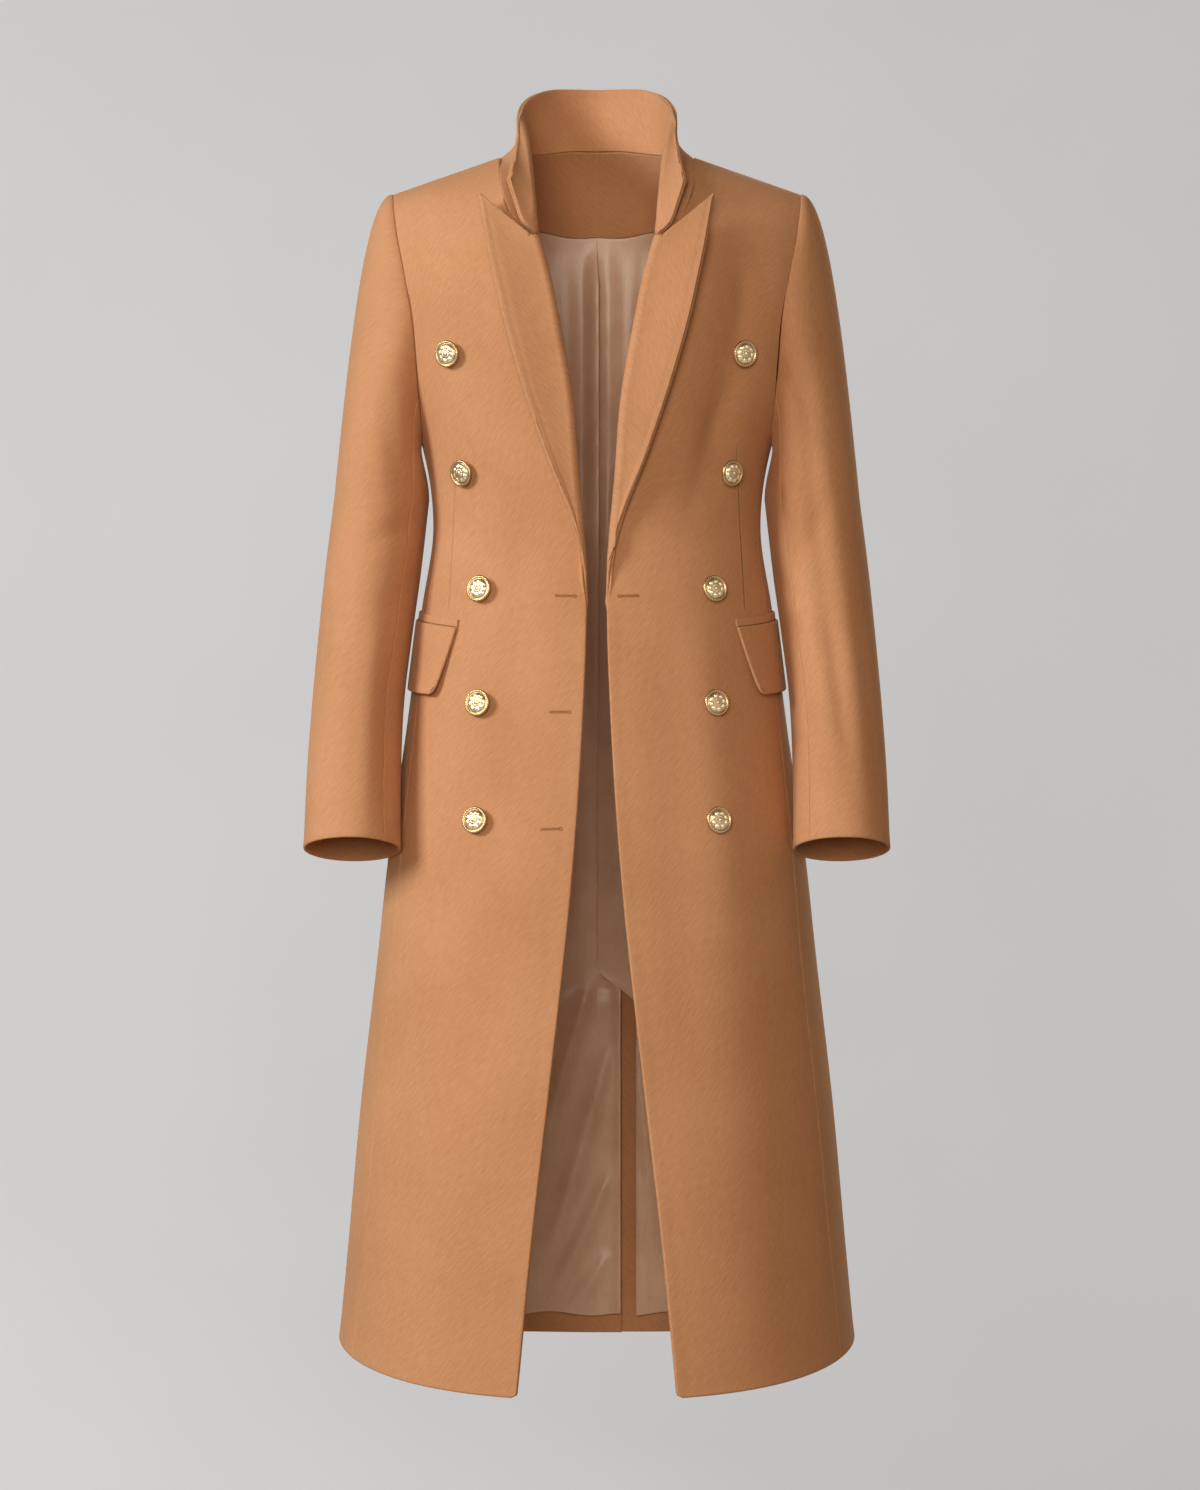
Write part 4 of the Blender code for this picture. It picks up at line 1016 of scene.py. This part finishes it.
def back_cloth(name, side):
    """One back panel. Below the vent's top the right one sinks behind the left one and
    carries the underlap on."""
    angle, height = back_field(low_rows(), back_edge(NECK_POINT, NECK_BACK),
                               NECK_BACK["height"][-1])
    grid = panel((angle, height), side)
    patches, maps = [grid], [cloth_map(grid, 1.0)]
    if name == "right":
        grid[..., 1] -= underlap_depth(height) * smooth(angle, *SUNK)
        low = height[:, -1] <= VENT_TOP
        reach = np.full(np.count_nonzero(low), UNDERLAP)
        patches.append(underlap_patch(grid[low, -1], height[low, -1], reach))
        maps.append(cloth_map(patches[1]))
    mesh = wall(patches, [-hem_puff(one) for one in maps], WOOL, maps)
    cloth_piece(f"back_{name}", mesh, WOOL_FACE, side)
    return grid


SLANT_HEIGHT = 40.0       # height over which the left back lining clears the vent
UNDERLAP_SHOWS = 0.8      # width of wool that shows past the underlap's lining


def vent_clearance(height):
    """How far the left back lining stops short of the centre: a slant, then straight down."""
    return LINING_CLEARS_VENT * smooth(VENT_SLANT - height, 0.0, SLANT_HEIGHT)


def pleat(out, height):
    """Share of the centre pleat's full depth: it opens under the neck and fades at the vent."""
    opened = smooth(NECK_FACING["height"][-1] - height, *PLEAT_OPENS)
    deep = PLEAT_LEAST + (1.0 - PLEAT_LEAST) * smooth(height, *PLEAT_DEEPENS)
    return opened * deep * smooth(height, *PLEAT_BEGINS) * smooth(out, PLEAT_WIDTH, 1.0)


def lining_relief(side, out, height, from_edge):
    """How far the back lining stands into the coat: soft folds, the right one's centre pleat,
    ripples beside it, and small puckers where the vent's edge is sewn."""
    relief = -grooves(LINING_FOLDS, 1.0, side, out, height)
    ripple = 0.5 + 0.5 * uneven_wave(height, 8.0, 1.7, 23.0)
    grown = smooth(height, *RIPPLE_GROWS)
    relief += RIPPLE_DEPTH * ripple * bell(from_edge, 0.0, RIPPLE_WIDTH) * grown
    if side < 0.0:
        relief += PLEAT_DEPTH * pleat(out, height)
    else:
        relief -= SINK_DEPTH * pleat(out + SINK_SHIFT, height)
    pucker = np.clip(uneven_wave(height, 3.3, 2.2, 17.0), 0.0, 1.0)
    sewn = smooth(VENT_SLANT - height, *PUCKER_GROWS) * bell(from_edge, 0.0, PUCKER_WIDTH)
    relief += (VENT_STAND[side] + PUCKER_DEPTH * pucker) * sewn
    return np.maximum(relief, WOOL + PLY_GAP - LINING_DEPTH)


def back_lining(name, side):
    """One back lining, with the underlap's lining on the right and the vent's slant on the
    left."""
    rows = np.linspace(HEM_SIDE + LINING_HEM_UP, UNDERARM, LINING_ROWS + 1)
    edge = back_edge(FACING_ON_SHOULDER, NECK_FACING, LINING_CLOSING)
    angle, height = back_field(rows, edge, NECK_FACING["height"][-1], LINING_CLOSING)
    if name == "left":
        start = angle[:, :1]
        end = angle_of(vent_clearance(height[:, -1:]), height[:, -1:], 1.0)
        angle = start + (angle - start) * (end - start) / (90.0 - start)
    grid = panel((angle, height), side)
    patches = [grid]
    if name == "right":
        grid[..., 1] -= underlap_depth(height) * smooth(angle, *SUNK)
        grid[..., 0] -= PLEAT_LAP * pleat(grid[..., 0], height)
        low = height[:, -1] <= VENT_SLANT
        low_height = height[low, -1]
        reach = np.minimum(vent_clearance(low_height), UNDERLAP - UNDERLAP_SHOWS)
        patches.append(underlap_patch(grid[low, -1], low_height, reach))
    edge_out = grid[:, -1, 0].copy()
    if name == "right":
        edge_out[low] = patches[1][:, -1, 0]
    reliefs = []
    for patch, outmost in zip(patches, (edge_out, edge_out[height[:, -1] <= VENT_SLANT])):
        from_edge = patch[..., 0] - outmost[:, None]
        reliefs.append(lining_relief(side, patch[..., 0], patch[..., 2], from_edge))
        wave = np.sin(patch[..., 0] / WAVE_LENGTH + 2.0 * side)
        patch[..., 2] += WAVE_DEPTH * wave * smooth(patch[..., 2], rows[0] + WAVE_RISE, rows[0])
    lining_piece(f"back_{name}", patches, side, reliefs)


def lining_piece(name, patches, side, reliefs):
    """A lining of satin, which hangs inside the coating and stands in from it by its folds."""
    maps = [cloth_map(patch) for patch in patches]
    near = [LINING_DEPTH + relief for relief in reliefs]
    mesh = wall(patches, near, [one + SATIN for one in near], maps)
    cloth_piece(f"lining_{name}", mesh, SATIN_FACE, side)


NECK_COLUMNS = 90         # columns of half the neck facing
NECK_ROWS = 30
NECK_ON_SHOULDER = 0.35   # share of its columns that end at the shoulder seam
DRAWN_DEPTH = 0.35        # puckers that the lining's seam draws into its lower edge
DRAWN_LENGTH = 1.15
DRAWN_RISE = 7.0


def neck_facing_piece():
    """The back neck facing: the backs' top between the facings, one cloth deeper, with its
    lower edge drawn into small puckers by the lining's seam."""
    top_count = round(NECK_COLUMNS * NECK_ON_SHOULDER)
    shoulder = on_shoulder(np.linspace(FACING_ON_SHOULDER, NECK_POINT, top_count + 1), 1.0)
    neck = out_line(*NECK_BACK.values(), 1.0)
    top = np.vstack([shoulder, resample(neck, NECK_COLUMNS - top_count + 1)[1:]])
    low = out_line(*NECK_FACING.values(), 1.0)
    low[0] = top[0]
    low = resample(low, NECK_COLUMNS + 1)
    share = np.linspace(0.0, 1.0, NECK_ROWS + 1)[:, None, None]
    pairs = low + (top - low) * share
    grid = place(pairs[..., 0], np.maximum(pairs[..., 1], 0.0))
    both = np.hstack([grid, (grid * (-1.0, 1.0, 1.0))[:, -2::-1]])
    flat = cloth_map(both)
    inner = WOOL + PLY_GAP
    from_low = flat[..., 1] - flat[:1, :, 1]
    drawn = DRAWN_DEPTH * (1.0 - smooth(from_low, 0.0, DRAWN_RISE))
    pucker = drawn * np.sin(both[..., 0] / DRAWN_LENGTH)
    cloth_piece("back_neck_facing", wall([both], inner, [inner + WOOL + pucker], [flat]), WOOL_FACE)


# ---------------------------------------------------------------- sleeves

SLEEVE_TURNS = 2 * HIGH_ROWS
FRONT_SLEEVE_SEAM = SLEEVE_TURNS // 8       # columns from the underarm to the front seam
BACK_SLEEVE_SEAM = SLEEVE_TURNS * 5 // 8    # and to the back seam
CAP_ROWS = 26
CAP_CLOSING = 1.25        # power by which its rows lie closer at the armhole
SLEEVE_ROWS = 66
TURNED_IN = (3.0, 0.35)   # how far the first two rows lie inside the armhole's seam

# The way in which the cap leaves the armhole: outward and upward at the underarm and at the
# shoulder, and forward between them. It then falls into the sleeve by shares of its height
CAP_OUT = (4.0, 27.0)
CAP_UP = (-16.0, 5.5)
CAP_FORWARD = 7.0
CAP_FALL = 0.5
CAP_INWARD = 0.1


def sleeve_ring(height, turn):
    """One ring of the sleeve: an ellipse from the underarm side round the front, tilted."""
    x = read(SLEEVE, "out", height) - read(SLEEVE, "half_width", height) * np.cos(turn)
    depth = -read(SLEEVE, "half_depth", height) * np.sin(turn)
    tilt = math.radians(float(read(SLEEVE, "tilt", height)))
    y = read(SLEEVE, "back", height) + depth * math.cos(tilt)
    return np.stack([x, y, height - depth * math.sin(tilt)], axis=-1)


def sleeve_pieces(name, side, armhole, armhole_normal):
    """Two-piece sleeve: a seam allowance turned in at the armhole, a cap that leaves it
    outward, then tilted rings, split at a front seam and a back seam."""
    turn = np.linspace(0.0, 2.0 * math.pi, SLEEVE_TURNS + 1)
    top_ring = sleeve_ring(SLEEVE["height"][-1], turn)
    high = (0.5 - 0.5 * np.cos(turn))[:, None]
    outward = np.hstack([CAP_OUT[0] + (CAP_OUT[1] - CAP_OUT[0]) * high,
                         -CAP_FORWARD * np.sin(turn)[:, None],
                         CAP_UP[0] + (CAP_UP[1] - CAP_UP[0]) * high])
    fall = (armhole - top_ring)[:, 2:] * CAP_FALL
    lead = np.hstack([-CAP_INWARD * fall * high, 0.0 * fall, fall])
    t = np.linspace(0.0, 1.0, CAP_ROWS + 1)[:, None, None] ** CAP_CLOSING
    cap = ((1.0 - t) ** 3 * armhole + 3.0 * t * (1.0 - t) ** 2 * (armhole + outward)
           + 3.0 * t * t * (1.0 - t) * (top_ring + lead) + t ** 3 * top_ring)
    inward = unit(armhole_normal - grid_normals(cap)[0])
    cap = np.vstack([np.stack([armhole - depth * inward for depth in TURNED_IN]), cap[1:]])
    heights = np.linspace(SLEEVE["height"][-1], SLEEVE["height"][0], SLEEVE_ROWS + 1)[1:]
    grid = np.vstack([cap, np.stack([sleeve_ring(one, turn) for one in heights])])[::-1]
    folds = grooves(SLEEVE_FOLDS, SLEEVE_UNROLLED, side, np.degrees(turn), grid[..., 2])
    grid = grid + grid_normals(grid) * folds[..., None]
    grid[:, -1] = grid[:, 0]
    flat = cloth_map(grid)
    puff = -hem_puff(flat)
    upper = np.s_[:, FRONT_SLEEVE_SEAM:BACK_SLEEVE_SEAM + 1]
    mesh = wall([grid[upper]], [puff[upper]], WOOL, [flat[upper]])
    cloth_piece(f"sleeve_upper_{name}", mesh, WOOL_FACE, side)
    past = np.s_[:, :FRONT_SLEEVE_SEAM + 1]
    wrapped = flat[past] + (flat[:, -1:] - flat[:, :1]) * (1.0, 0.0)
    grid, flat, puff = [np.hstack([one[:, BACK_SLEEVE_SEAM:-1], other]) for one, other in
                        ((grid, grid[past]), (flat, wrapped), (puff, puff[past]))]
    cloth_piece(f"sleeve_under_{name}", wall([grid], [puff], WOOL, [flat]), WOOL_FACE, side)


# ---------------------------------------------------------------- collar

COLLAR_STATIONS = 8       # stations for each row of the collar's table
COLLAR_PART = 32          # points over the stand, and again over the fall
COLLAR_OPEN = 1.8         # inner radius of the collar's fold
FOLD_REACH = 4.5          # how far from the fold the cloth begins to turn
COLLAR_PASSES = 8         # times that each station is averaged with its neighbours
COLLAR_CLOSING = 1.5      # power by which its points lie closer at the fold
COLLAR_LIES = (5.5, 3.0)  # rows of its table between which the fall comes to lie on the stand
COLLAR_SEAMED = 12.0      # distance from the neckline over which the fold's opening begins
COLLAR_LAPS = {"under_collar": 0.4, "collar": 3.2}   # how far each reaches into the neckline


def hermite(start, start_way, end, end_way, t):
    """Cubic curves from start to end, which leave and arrive along the given ways."""
    t = t[None, :, None]
    start, start_way, end, end_way = (one[:, None] for one in (start, start_way, end, end_way))
    rise = (3.0 - 2.0 * t) * t * t
    curved = t * (1.0 - t) ** 2 * start_way + t * t * (t - 1.0) * end_way
    return start * (1.0 - rise) + end * rise + curved


def collar_half(lap):
    """One side of the collar: stand from neckline to fold, then the fall to the edge. Near
    the gorge the stand shrinks to the fold and the fall takes the collar's front edge."""
    front, back = out_line(*NECK_FRONT.values()), out_line(*NECK_BACK.values(), 1.0)
    neck = np.vstack([place(*one.T) for one in (front, back[1:])])
    table = np.stack(list(COLLAR.values()), axis=-1)
    table = np.hstack([np.vstack([table[:1, :3], neck]), table])
    mirror = np.array((-1.0, 1.0, 1.0) * 3 + (1.0,))
    table = np.vstack([table, (table * mirror)[-2::-1]])
    count = len(neck) * COLLAR_STATIONS + 1
    dense = resample(table, 2 * count - 1)[:count]
    base, fold, edge, firm = dense[:, :3], dense[:, 3:6], dense[:, 6:9], dense[:, 9:]
    started = np.minimum(np.linspace(0.0, len(neck), count)[:, None], 1.0)
    base = base - unit(fold - base) * lap * started
    way = unit(edge - base) * firm
    closing = shares(COLLAR_PART + 1, COLLAR_CLOSING)
    stand = hermite(base, fold - base, fold, way * started, closing)
    fall = hermite(fold, way, edge, edge - fold, 1.0 - closing[::-1])
    front_edge = resample(np.stack(list(COLLAR_FRONT.values()), axis=-1), COLLAR_PART + 1)
    fall += (front_edge - fall[:1]) * (1.0 - started[..., None]) ** 2
    return opened_fold(np.hstack([stand, fall[:, 1:]]), started)


def opened_fold(grid, started):
    """Open the collar's fold where the fall lies back over the stand: the stand moves one
    way along their common normal and the fall the other, through an S at the fold."""
    middle = COLLAR_PART
    along = unit(np.gradient(grid[:, middle], axis=0))
    common = unit(np.cross(along, grid[:, middle] - grid[:, 0] + 1e-6))[:, None]
    from_fold = run_lengths(grid, 1)
    from_fold = from_fold - from_fold[:, middle:middle + 1]
    swing = 2.0 * smooth(from_fold, -FOLD_REACH, FOLD_REACH) - 1.0
    index = np.linspace(0.0, len(COLLAR["firmness"]) - 1.0, len(grid))[:, None]
    reach = COLLAR_OPEN * smooth(index, *COLLAR_LIES) * started
    seamed = smooth(run_lengths(grid, 1), 0.0, COLLAR_SEAMED)
    return grid + common * (swing * reach * seamed)[..., None]


def collar_pieces():
    """Under collar, and the upper collar on the neck's side of it, each reaching a little
    way into its seam."""
    for name, near in (("under_collar", 0.0), ("collar", WOOL + PLY_GAP)):
        half = collar_half(COLLAR_LAPS[name])
        both = np.vstack([half, (half * (-1.0, 1.0, 1.0))[-2::-1]])[:, ::-1]
        for _ in range(COLLAR_PASSES):
            both[1:-1] = 0.25 * (both[:-2] + 2.0 * both[1:-1] + both[2:])
        across = run_lengths(both, 0)
        down = run_lengths(both, 1)
        flat = np.stack([across - across[len(half) - 1], -down], axis=-1)
        puff = edge_puff(down) * (near > 0.0)
        cloth_piece(name, wall([both], near, [near + WOOL + puff], [flat]), WOOL_FACE)


# ---------------------------------------------------------------- pockets

FLAP_COLUMNS = 90
FLAP_ROWS = 30
FLAP_WIDTH = 185.0        # the flap's size, by which its corners are rounded
FLAP_DEPTH = 66.0
FLAP_CORNER = 9.0         # radius of the flap's lower corners
FLAP_LIFT_SHARE = 2.2     # the flap lifts over its width divided by this
JET_LEVELS = (0.5, JET_HEIGHT, 7)   # the jet's lowest and highest row, and their number


def flap_line(column, share):
    """A column of the flap's table at a share of the way from its front to its rear."""
    return np.interp(share, (0.0, FLAP_BEND, 1.0), FLAP[column])


def pocket_pieces(name, side):
    """Flap pocket: the flap with rounded lower corners, and the jet above it."""
    share = np.linspace(0.0, 1.0, FLAP_COLUMNS + 1)[None, :]
    from_end = np.minimum(share, 1.0 - share) * FLAP_WIDTH
    cut = corner_cut(from_end, FLAP_CORNER)
    down = np.linspace(0.0, 1.0, FLAP_ROWS + 1)[:, None] * (1.0 - cut / FLAP_DEPTH)
    ends = [(flap_line("top_" + one, share), flap_line("bottom_" + one, share))
            for one in ("angle", "height")]
    angle, height = (top + (bottom - top) * down for top, bottom in ends)
    lifted = np.clip(1.0 - FLAP_LIFT_SHARE * share, 0.0, 1.0)
    flap = moved_out(side, angle, height, FLAP_OFF + FLAP_LIFT * down ** 2 * lifted)[::-1]
    mesh = wall([flap], -FLAP_THICK, 0.0, [cloth_map(flap)])
    cloth_piece(f"pocket_flap_{name}", mesh, WOOL_FACE, side)
    up = np.linspace(*JET_LEVELS)[:, None]
    jet_angle = flap_line("top_angle", share) + 0.0 * up
    jet = moved_out(side, jet_angle, flap_line("top_height", share) + up, JET_OFF)
    mesh = wall([jet], -JET_THICK, 0.0, [cloth_map(jet)])
    cloth_piece(f"pocket_jet_{name}", mesh, WOOL_FACE, side)


# ---------------------------------------------------------------- buttons and buttonholes

BUTTON_TURNS = 80
BUTTON_SIDE = columns("radius rise", (
    (0.0, 0.3), (3.2, 0.3), (3.3, 2.2), (3.6, 4.2), (8.0, 4.5), (11.2, 4.7), (12.3, 5.1),
    (12.65, 5.7)))
BUTTON_FACE = columns("radius rise", (
    (12.65, 5.7), (12.4, 6.5), (11.7, 7.1), (10.9, 7.15), (10.2, 6.7), (9.7, 6.6),
    (8.6, 7.3), (6.0, 8.1), (3.0, 8.6), (0.0, 8.8)))
BUTTON_RINGS = 44
SHANK_RINGS = 2           # of BUTTON_SIDE, the ones that reach down to sunk cloth
RELIEF_SPAN = 0.6         # height of raised work over which the painted shade goes from browner to bright
LEVEL_TONE = 0.25         # how bright the painted shade leaves the face where it has no raised work

# Raised work of a button's face: middle radius and half width of each ring
ROPE_RING = (11.5, 0.75)
LEAF_RING = (6.6, 1.75)
BEAD_RING = (3.3, 0.6)
BOSS = (0.0, 1.5)
LEAVES = 8.0


def button_relief(radius, turn):
    """Raised work of a button's face: a roped rim, a ring of veined leaves, a ring of beads
    round the centre and a boss. Each is a bell over the radius times a wave round it."""
    rope = 0.32 * bell(radius, *ROPE_RING) * np.sin(30.0 * turn + 1.3 * radius)
    leaf = np.abs(np.cos(0.5 * LEAVES * turn)) ** 0.6
    leaves = 0.75 * leaf * bell(radius - 0.5 * leaf, *LEAF_RING, 4.0)
    vein = -0.3 * bell(np.cos(0.5 * LEAVES * turn), 0.0, 0.14) * leaves
    beads = 0.4 * bell(radius, *BEAD_RING) * (0.5 + 0.5 * np.cos(12.0 * turn))
    return rope + leaves + vein + beads + 0.5 * bell(radius, *BOSS, 4.0)


def closed_shape(grid):
    """Points and faces of a grid whose ends meet, and which grid point each point is."""
    points, quads, first = weld([grid])
    return points, *split_faces(quads), first


def button_pieces(name, side):
    """Five domed shank buttons, which face along the coat's normal. Where the cloth sinks
    in a fold, a button follows half the way and its shank reaches down the other half."""
    place_on = angle_of(BUTTONS["out"], BUTTONS["height"])
    axes = normals(body, place_on, BUTTONS["height"])
    sunk = 0.5 * drape(side, place_on, BUTTONS["height"])
    centres = body(place_on, BUTTONS["height"]) + axes * sunk[:, None]
    sides = np.stack(list(BUTTON_SIDE.values()), axis=-1)
    face = resample(np.stack(list(BUTTON_FACE.values()), axis=-1), BUTTON_RINGS + 1)[1:]
    profile = np.vstack([sides, face])
    on_face = np.arange(len(profile)) >= len(sides)
    on_foot = np.arange(len(profile))[:, None] < SHANK_RINGS
    turn = np.linspace(2.0 * math.pi, 0.0, BUTTON_TURNS + 1)[None, :]
    radius, rise = profile[:, :1], profile[:, 1:]
    relief = button_relief(radius, turn) * on_face[:, None]
    # painted shade of the gilt: browner where the face is low and on the sides, brighter on raised
    # work
    raised = np.clip(LEVEL_TONE + relief / RELIEF_SPAN, 0.0, 1.0)
    for number, (centre, axis, gap) in enumerate(zip(centres, axes, sunk), start=1):
        lean = BUTTON_TURN[number - 1] * side
        aside = unit(np.cross(axis, (0.0, 0.0, 1.0)))
        upward = np.cross(aside, axis)
        around = (aside * np.cos(turn + lean)[..., None] + upward * np.sin(turn + lean)[..., None])
        level = rise + relief + gap * on_foot
        points = centre + axis * level[..., None] + around * radius[..., None]
        points[-1] = points[-1].mean(axis=0)
        points[:, -1] = points[:, 0]
        *mesh, first = closed_shape(points)
        piece = add_piece(f"button_{name}_{number}_gilt", (*mesh, None), GILT,
                          [f"button_{name}_{number}"], side)
        layer = piece.data.attributes.new("raised", "FLOAT", "POINT")
        layer.data.foreach_set("value", raised.ravel()[first])


for side_name, side_sign in SIDES:
    front_grid = front_pieces(side_name, side_sign)
    back_grid = back_cloth(side_name, side_sign)
    back_lining(side_name, side_sign)
    armhole_loop, armhole_normals = (
        np.vstack([front[LOW_ROWS:, -1], back[-2:LOW_ROWS - 1:-1, 0]])
        for front, back in ((front_grid, back_grid),
                            (grid_normals(front_grid), grid_normals(back_grid))))
    sleeve_pieces(side_name, side_sign, armhole_loop, armhole_normals)
    pocket_pieces(side_name, side_sign)
    button_pieces(side_name, side_sign)
neck_facing_piece()
collar_pieces()


# ---------------------------------------------------------------- buttonholes

BUTTONHOLES = columns("side out height slant", (
    (-1.0, 21.0, -427.0, 0.03),
    (-1.0, 26.0, -536.0, 0.0),
    (-1.0, 34.0, -645.0, -0.03),
    (1.0, 21.0, -427.0, 0.03)))
HOLE_LENGTH = 18.0
HOLE_EYE = 1.35           # radius of the eyelet's stitched ring
HOLE_HALF = 0.7           # half the distance between the middles of its two legs
STITCH = 0.85             # spacing of the purl stitches
SWELL = 0.22              # share by which the thread swells at each stitch
TWIST_HALF = (0.5, 0.35)  # half width and half height of the thread's ring
TWIST_OFF = 0.3           # height of its middle over the cloth
HOLE_POINTS = 170         # points along it
TWIST_POINTS = 10         # and round it


def keyhole_path(count):
    """Outline of a keyhole: a leg out, round the eyelet at the front edge's end, and back,
    closed by a bar. x runs from the eyelet to the bar."""
    open_angle = math.asin(HOLE_HALF / HOLE_EYE)
    around = np.linspace(open_angle, 2.0 * math.pi - open_angle, 40)
    eye = np.stack([HOLE_EYE * np.cos(around), HOLE_EYE * np.sin(around)], axis=-1)
    leg = np.linspace(eye[-1, 0], HOLE_LENGTH, 30)[1:]
    corners = np.vstack([eye, np.stack([leg, 0.0 * leg - HOLE_HALF], axis=-1),
                         np.stack([leg[::-1], 0.0 * leg + HOLE_HALF], axis=-1), eye[:1]])
    way = np.insert(np.cumsum(np.linalg.norm(np.diff(corners, axis=0), axis=1)), 0, 0.0)
    at = np.linspace(0.0, way[-1], count)
    return np.stack([np.interp(at, way, column) for column in corners.T], axis=-1), at


def buttonhole_piece(number, side, out, height, slant):
    """A worked keyhole buttonhole: a ring of purl stitches, round which the thread swells."""
    path, way = keyhole_path(HOLE_POINTS)
    ahead = unit(np.roll(path[:-1], -1, axis=0) - np.roll(path[:-1], 1, axis=0))
    ahead = np.vstack([ahead, ahead[:1]])
    across = np.stack([ahead[:, 1], -ahead[:, 0]], axis=-1)
    turn = np.linspace(2.0 * math.pi, 0.0, TWIST_POINTS)
    swell = 1.0 + SWELL * np.sin(2.0 * math.pi * way / STITCH)
    wide, high = [(half * swell)[:, None] * wave
                  for half, wave in zip(TWIST_HALF, (np.cos(turn), np.sin(turn)))]
    flat = path[:, None] + across[:, None] * wide[..., None]
    level = height + flat[..., 1] + slant * flat[..., 0]
    ring = moved_out(side, angle_of(out + flat[..., 0], level), level, high + TWIST_OFF)
    ring[-1], ring[:, -1] = ring[0], ring[:, 0]
    flat_map = np.stack([np.broadcast_to(way[:, None], ring.shape[:2]),
                         np.broadcast_to(turn, ring.shape[:2])], axis=-1)
    *mesh, first = closed_shape(ring)
    hand = "left" if side > 0.0 else "right"
    add_piece(f"buttonhole_{hand}_{number}_cloth", (*mesh, flat_map.reshape(-1, 2)[first]),
              THREAD, side=side)


for hole_number, hole in enumerate(zip(*BUTTONHOLES.values()), start=1):
    buttonhole_piece(hole_number, *hole)


# ---------------------------------------------------------------- studio, in metres

FLOOR = -2.6
WALL_OUT = 6.6
WALL_HIGH = 9.0
SWEEP = 2.2               # radius of the turn between floor and wall
SWEEP_TURNS = 96
LENS = 94.66              # focal length and sensor width in millimetres
SENSOR = 36.0
CAMERA_AT = (0.003, -3.8, -0.567)


def paper_material(name, dark, light):
    """Pale backdrop paper: matt, with a hardly visible cloudiness, and lit a little by itself
    so that it stays even behind the coat from every side."""
    material, tree, shader = new_material(name, Roughness=0.95, Emission_Strength=0.28)
    place_of = node(tree, "ShaderNodeTexCoord", {}).outputs["Object"]
    grain = node(tree, "ShaderNodeTexNoise", {}, Vector=place_of, Scale=1.5, Detail=2.0)
    tone = node(tree, "ShaderNodeMix", COLOUR_MIX, Factor=grain.outputs["Fac"],
                _6=linear(dark), _7=linear(light))
    for socket in ("Base Color", "Emission Color"):
        tree.links.new(tone.outputs[2], shader.inputs[socket])
    return material


def stage_piece():
    """A round sweep: the floor turned up into a wall all round."""
    up = np.linspace(0.0, math.pi / 2.0, 24)
    floor_out = np.linspace(0.0, WALL_OUT - SWEEP, 12)
    out = np.concatenate([floor_out, WALL_OUT - SWEEP + SWEEP * np.sin(up[1:]), [WALL_OUT]])
    height = np.concatenate([0.0 * floor_out, SWEEP * (1.0 - np.cos(up[1:])), [WALL_HIGH]])
    turn = np.linspace(0.0, 2.0 * math.pi, SWEEP_TURNS + 1)
    grid = np.stack([np.outer(out, np.cos(turn)), np.outer(out, np.sin(turn)),
                     np.outer(height + FLOOR, np.ones(len(turn)))], axis=-1)
    *mesh, _ = closed_shape(grid)
    paper = paper_material("pale_backdrop_paper", "D9DCE0", "DFE2E6")
    sweep = new_object("studio_sweep", *mesh, paper)
    sweep.visible_diffuse = sweep.visible_shadow = False


def soft_light(name, place_at, aim, size, watts, tint="FFFFFF", card=False):
    """A square area light at a place, turned to a point. A card shows only in gloss."""
    lamp = bpy.data.lights.new(name, "AREA")
    lamp.shape, lamp.size, lamp.energy = "SQUARE", size, watts
    lamp.color = linear(tint)[:3]
    light = bpy.data.objects.new(name, lamp)
    light.location = place_at
    way = np.array(aim) - np.array(place_at)
    across, up = math.hypot(way[0], way[1]), way[2]
    light.rotation_euler = (math.atan2(across, -up), 0.0, math.atan2(-way[0], way[1]))
    light.visible_camera = False
    light.visible_diffuse = not card
    bpy.context.scene.collection.objects.link(light)


stage_piece()
soft_light("key", (-3.0, -1.85, 0.95), (0.0, 0.0, -0.5), 1.1, 114.0, "EFF8FF")
soft_light("fill", (-0.35, -3.9, 0.15), (0.0, 0.0, -0.6), 1.5, 70.0, "FFF4E6")
soft_light("card", (2.6, -3.4, 0.4), (0.0, 0.0, -0.4), 2.4, 26.0, card=True)
soft_light("backdrop_wash", (-2.6, 1.2, 0.2), (-0.6, 6.6, -0.6), 1.6, 98.0)
soft_light("back", (1.6, 4.3, 0.6), (0.0, 0.0, -0.6), 2.0, 60.0, "FFF4E6")

world = bpy.data.worlds.new("studio")
world.use_nodes = True
surround = world.node_tree.nodes["Background"].inputs
surround["Color"].default_value = linear("FFDCB4")
surround["Strength"].default_value = 0.16
bpy.context.scene.world = world
bpy.context.scene.view_settings.view_transform = "Standard"

camera_data = bpy.data.cameras.new("camera")
camera_data.lens = LENS
camera_data.sensor_width = SENSOR
camera = bpy.data.objects.new("camera", camera_data)
camera.location = CAMERA_AT
camera.rotation_euler = (math.radians(90.0), 0.0, 0.0)
bpy.context.scene.collection.objects.link(camera)
bpy.context.scene.camera = camera
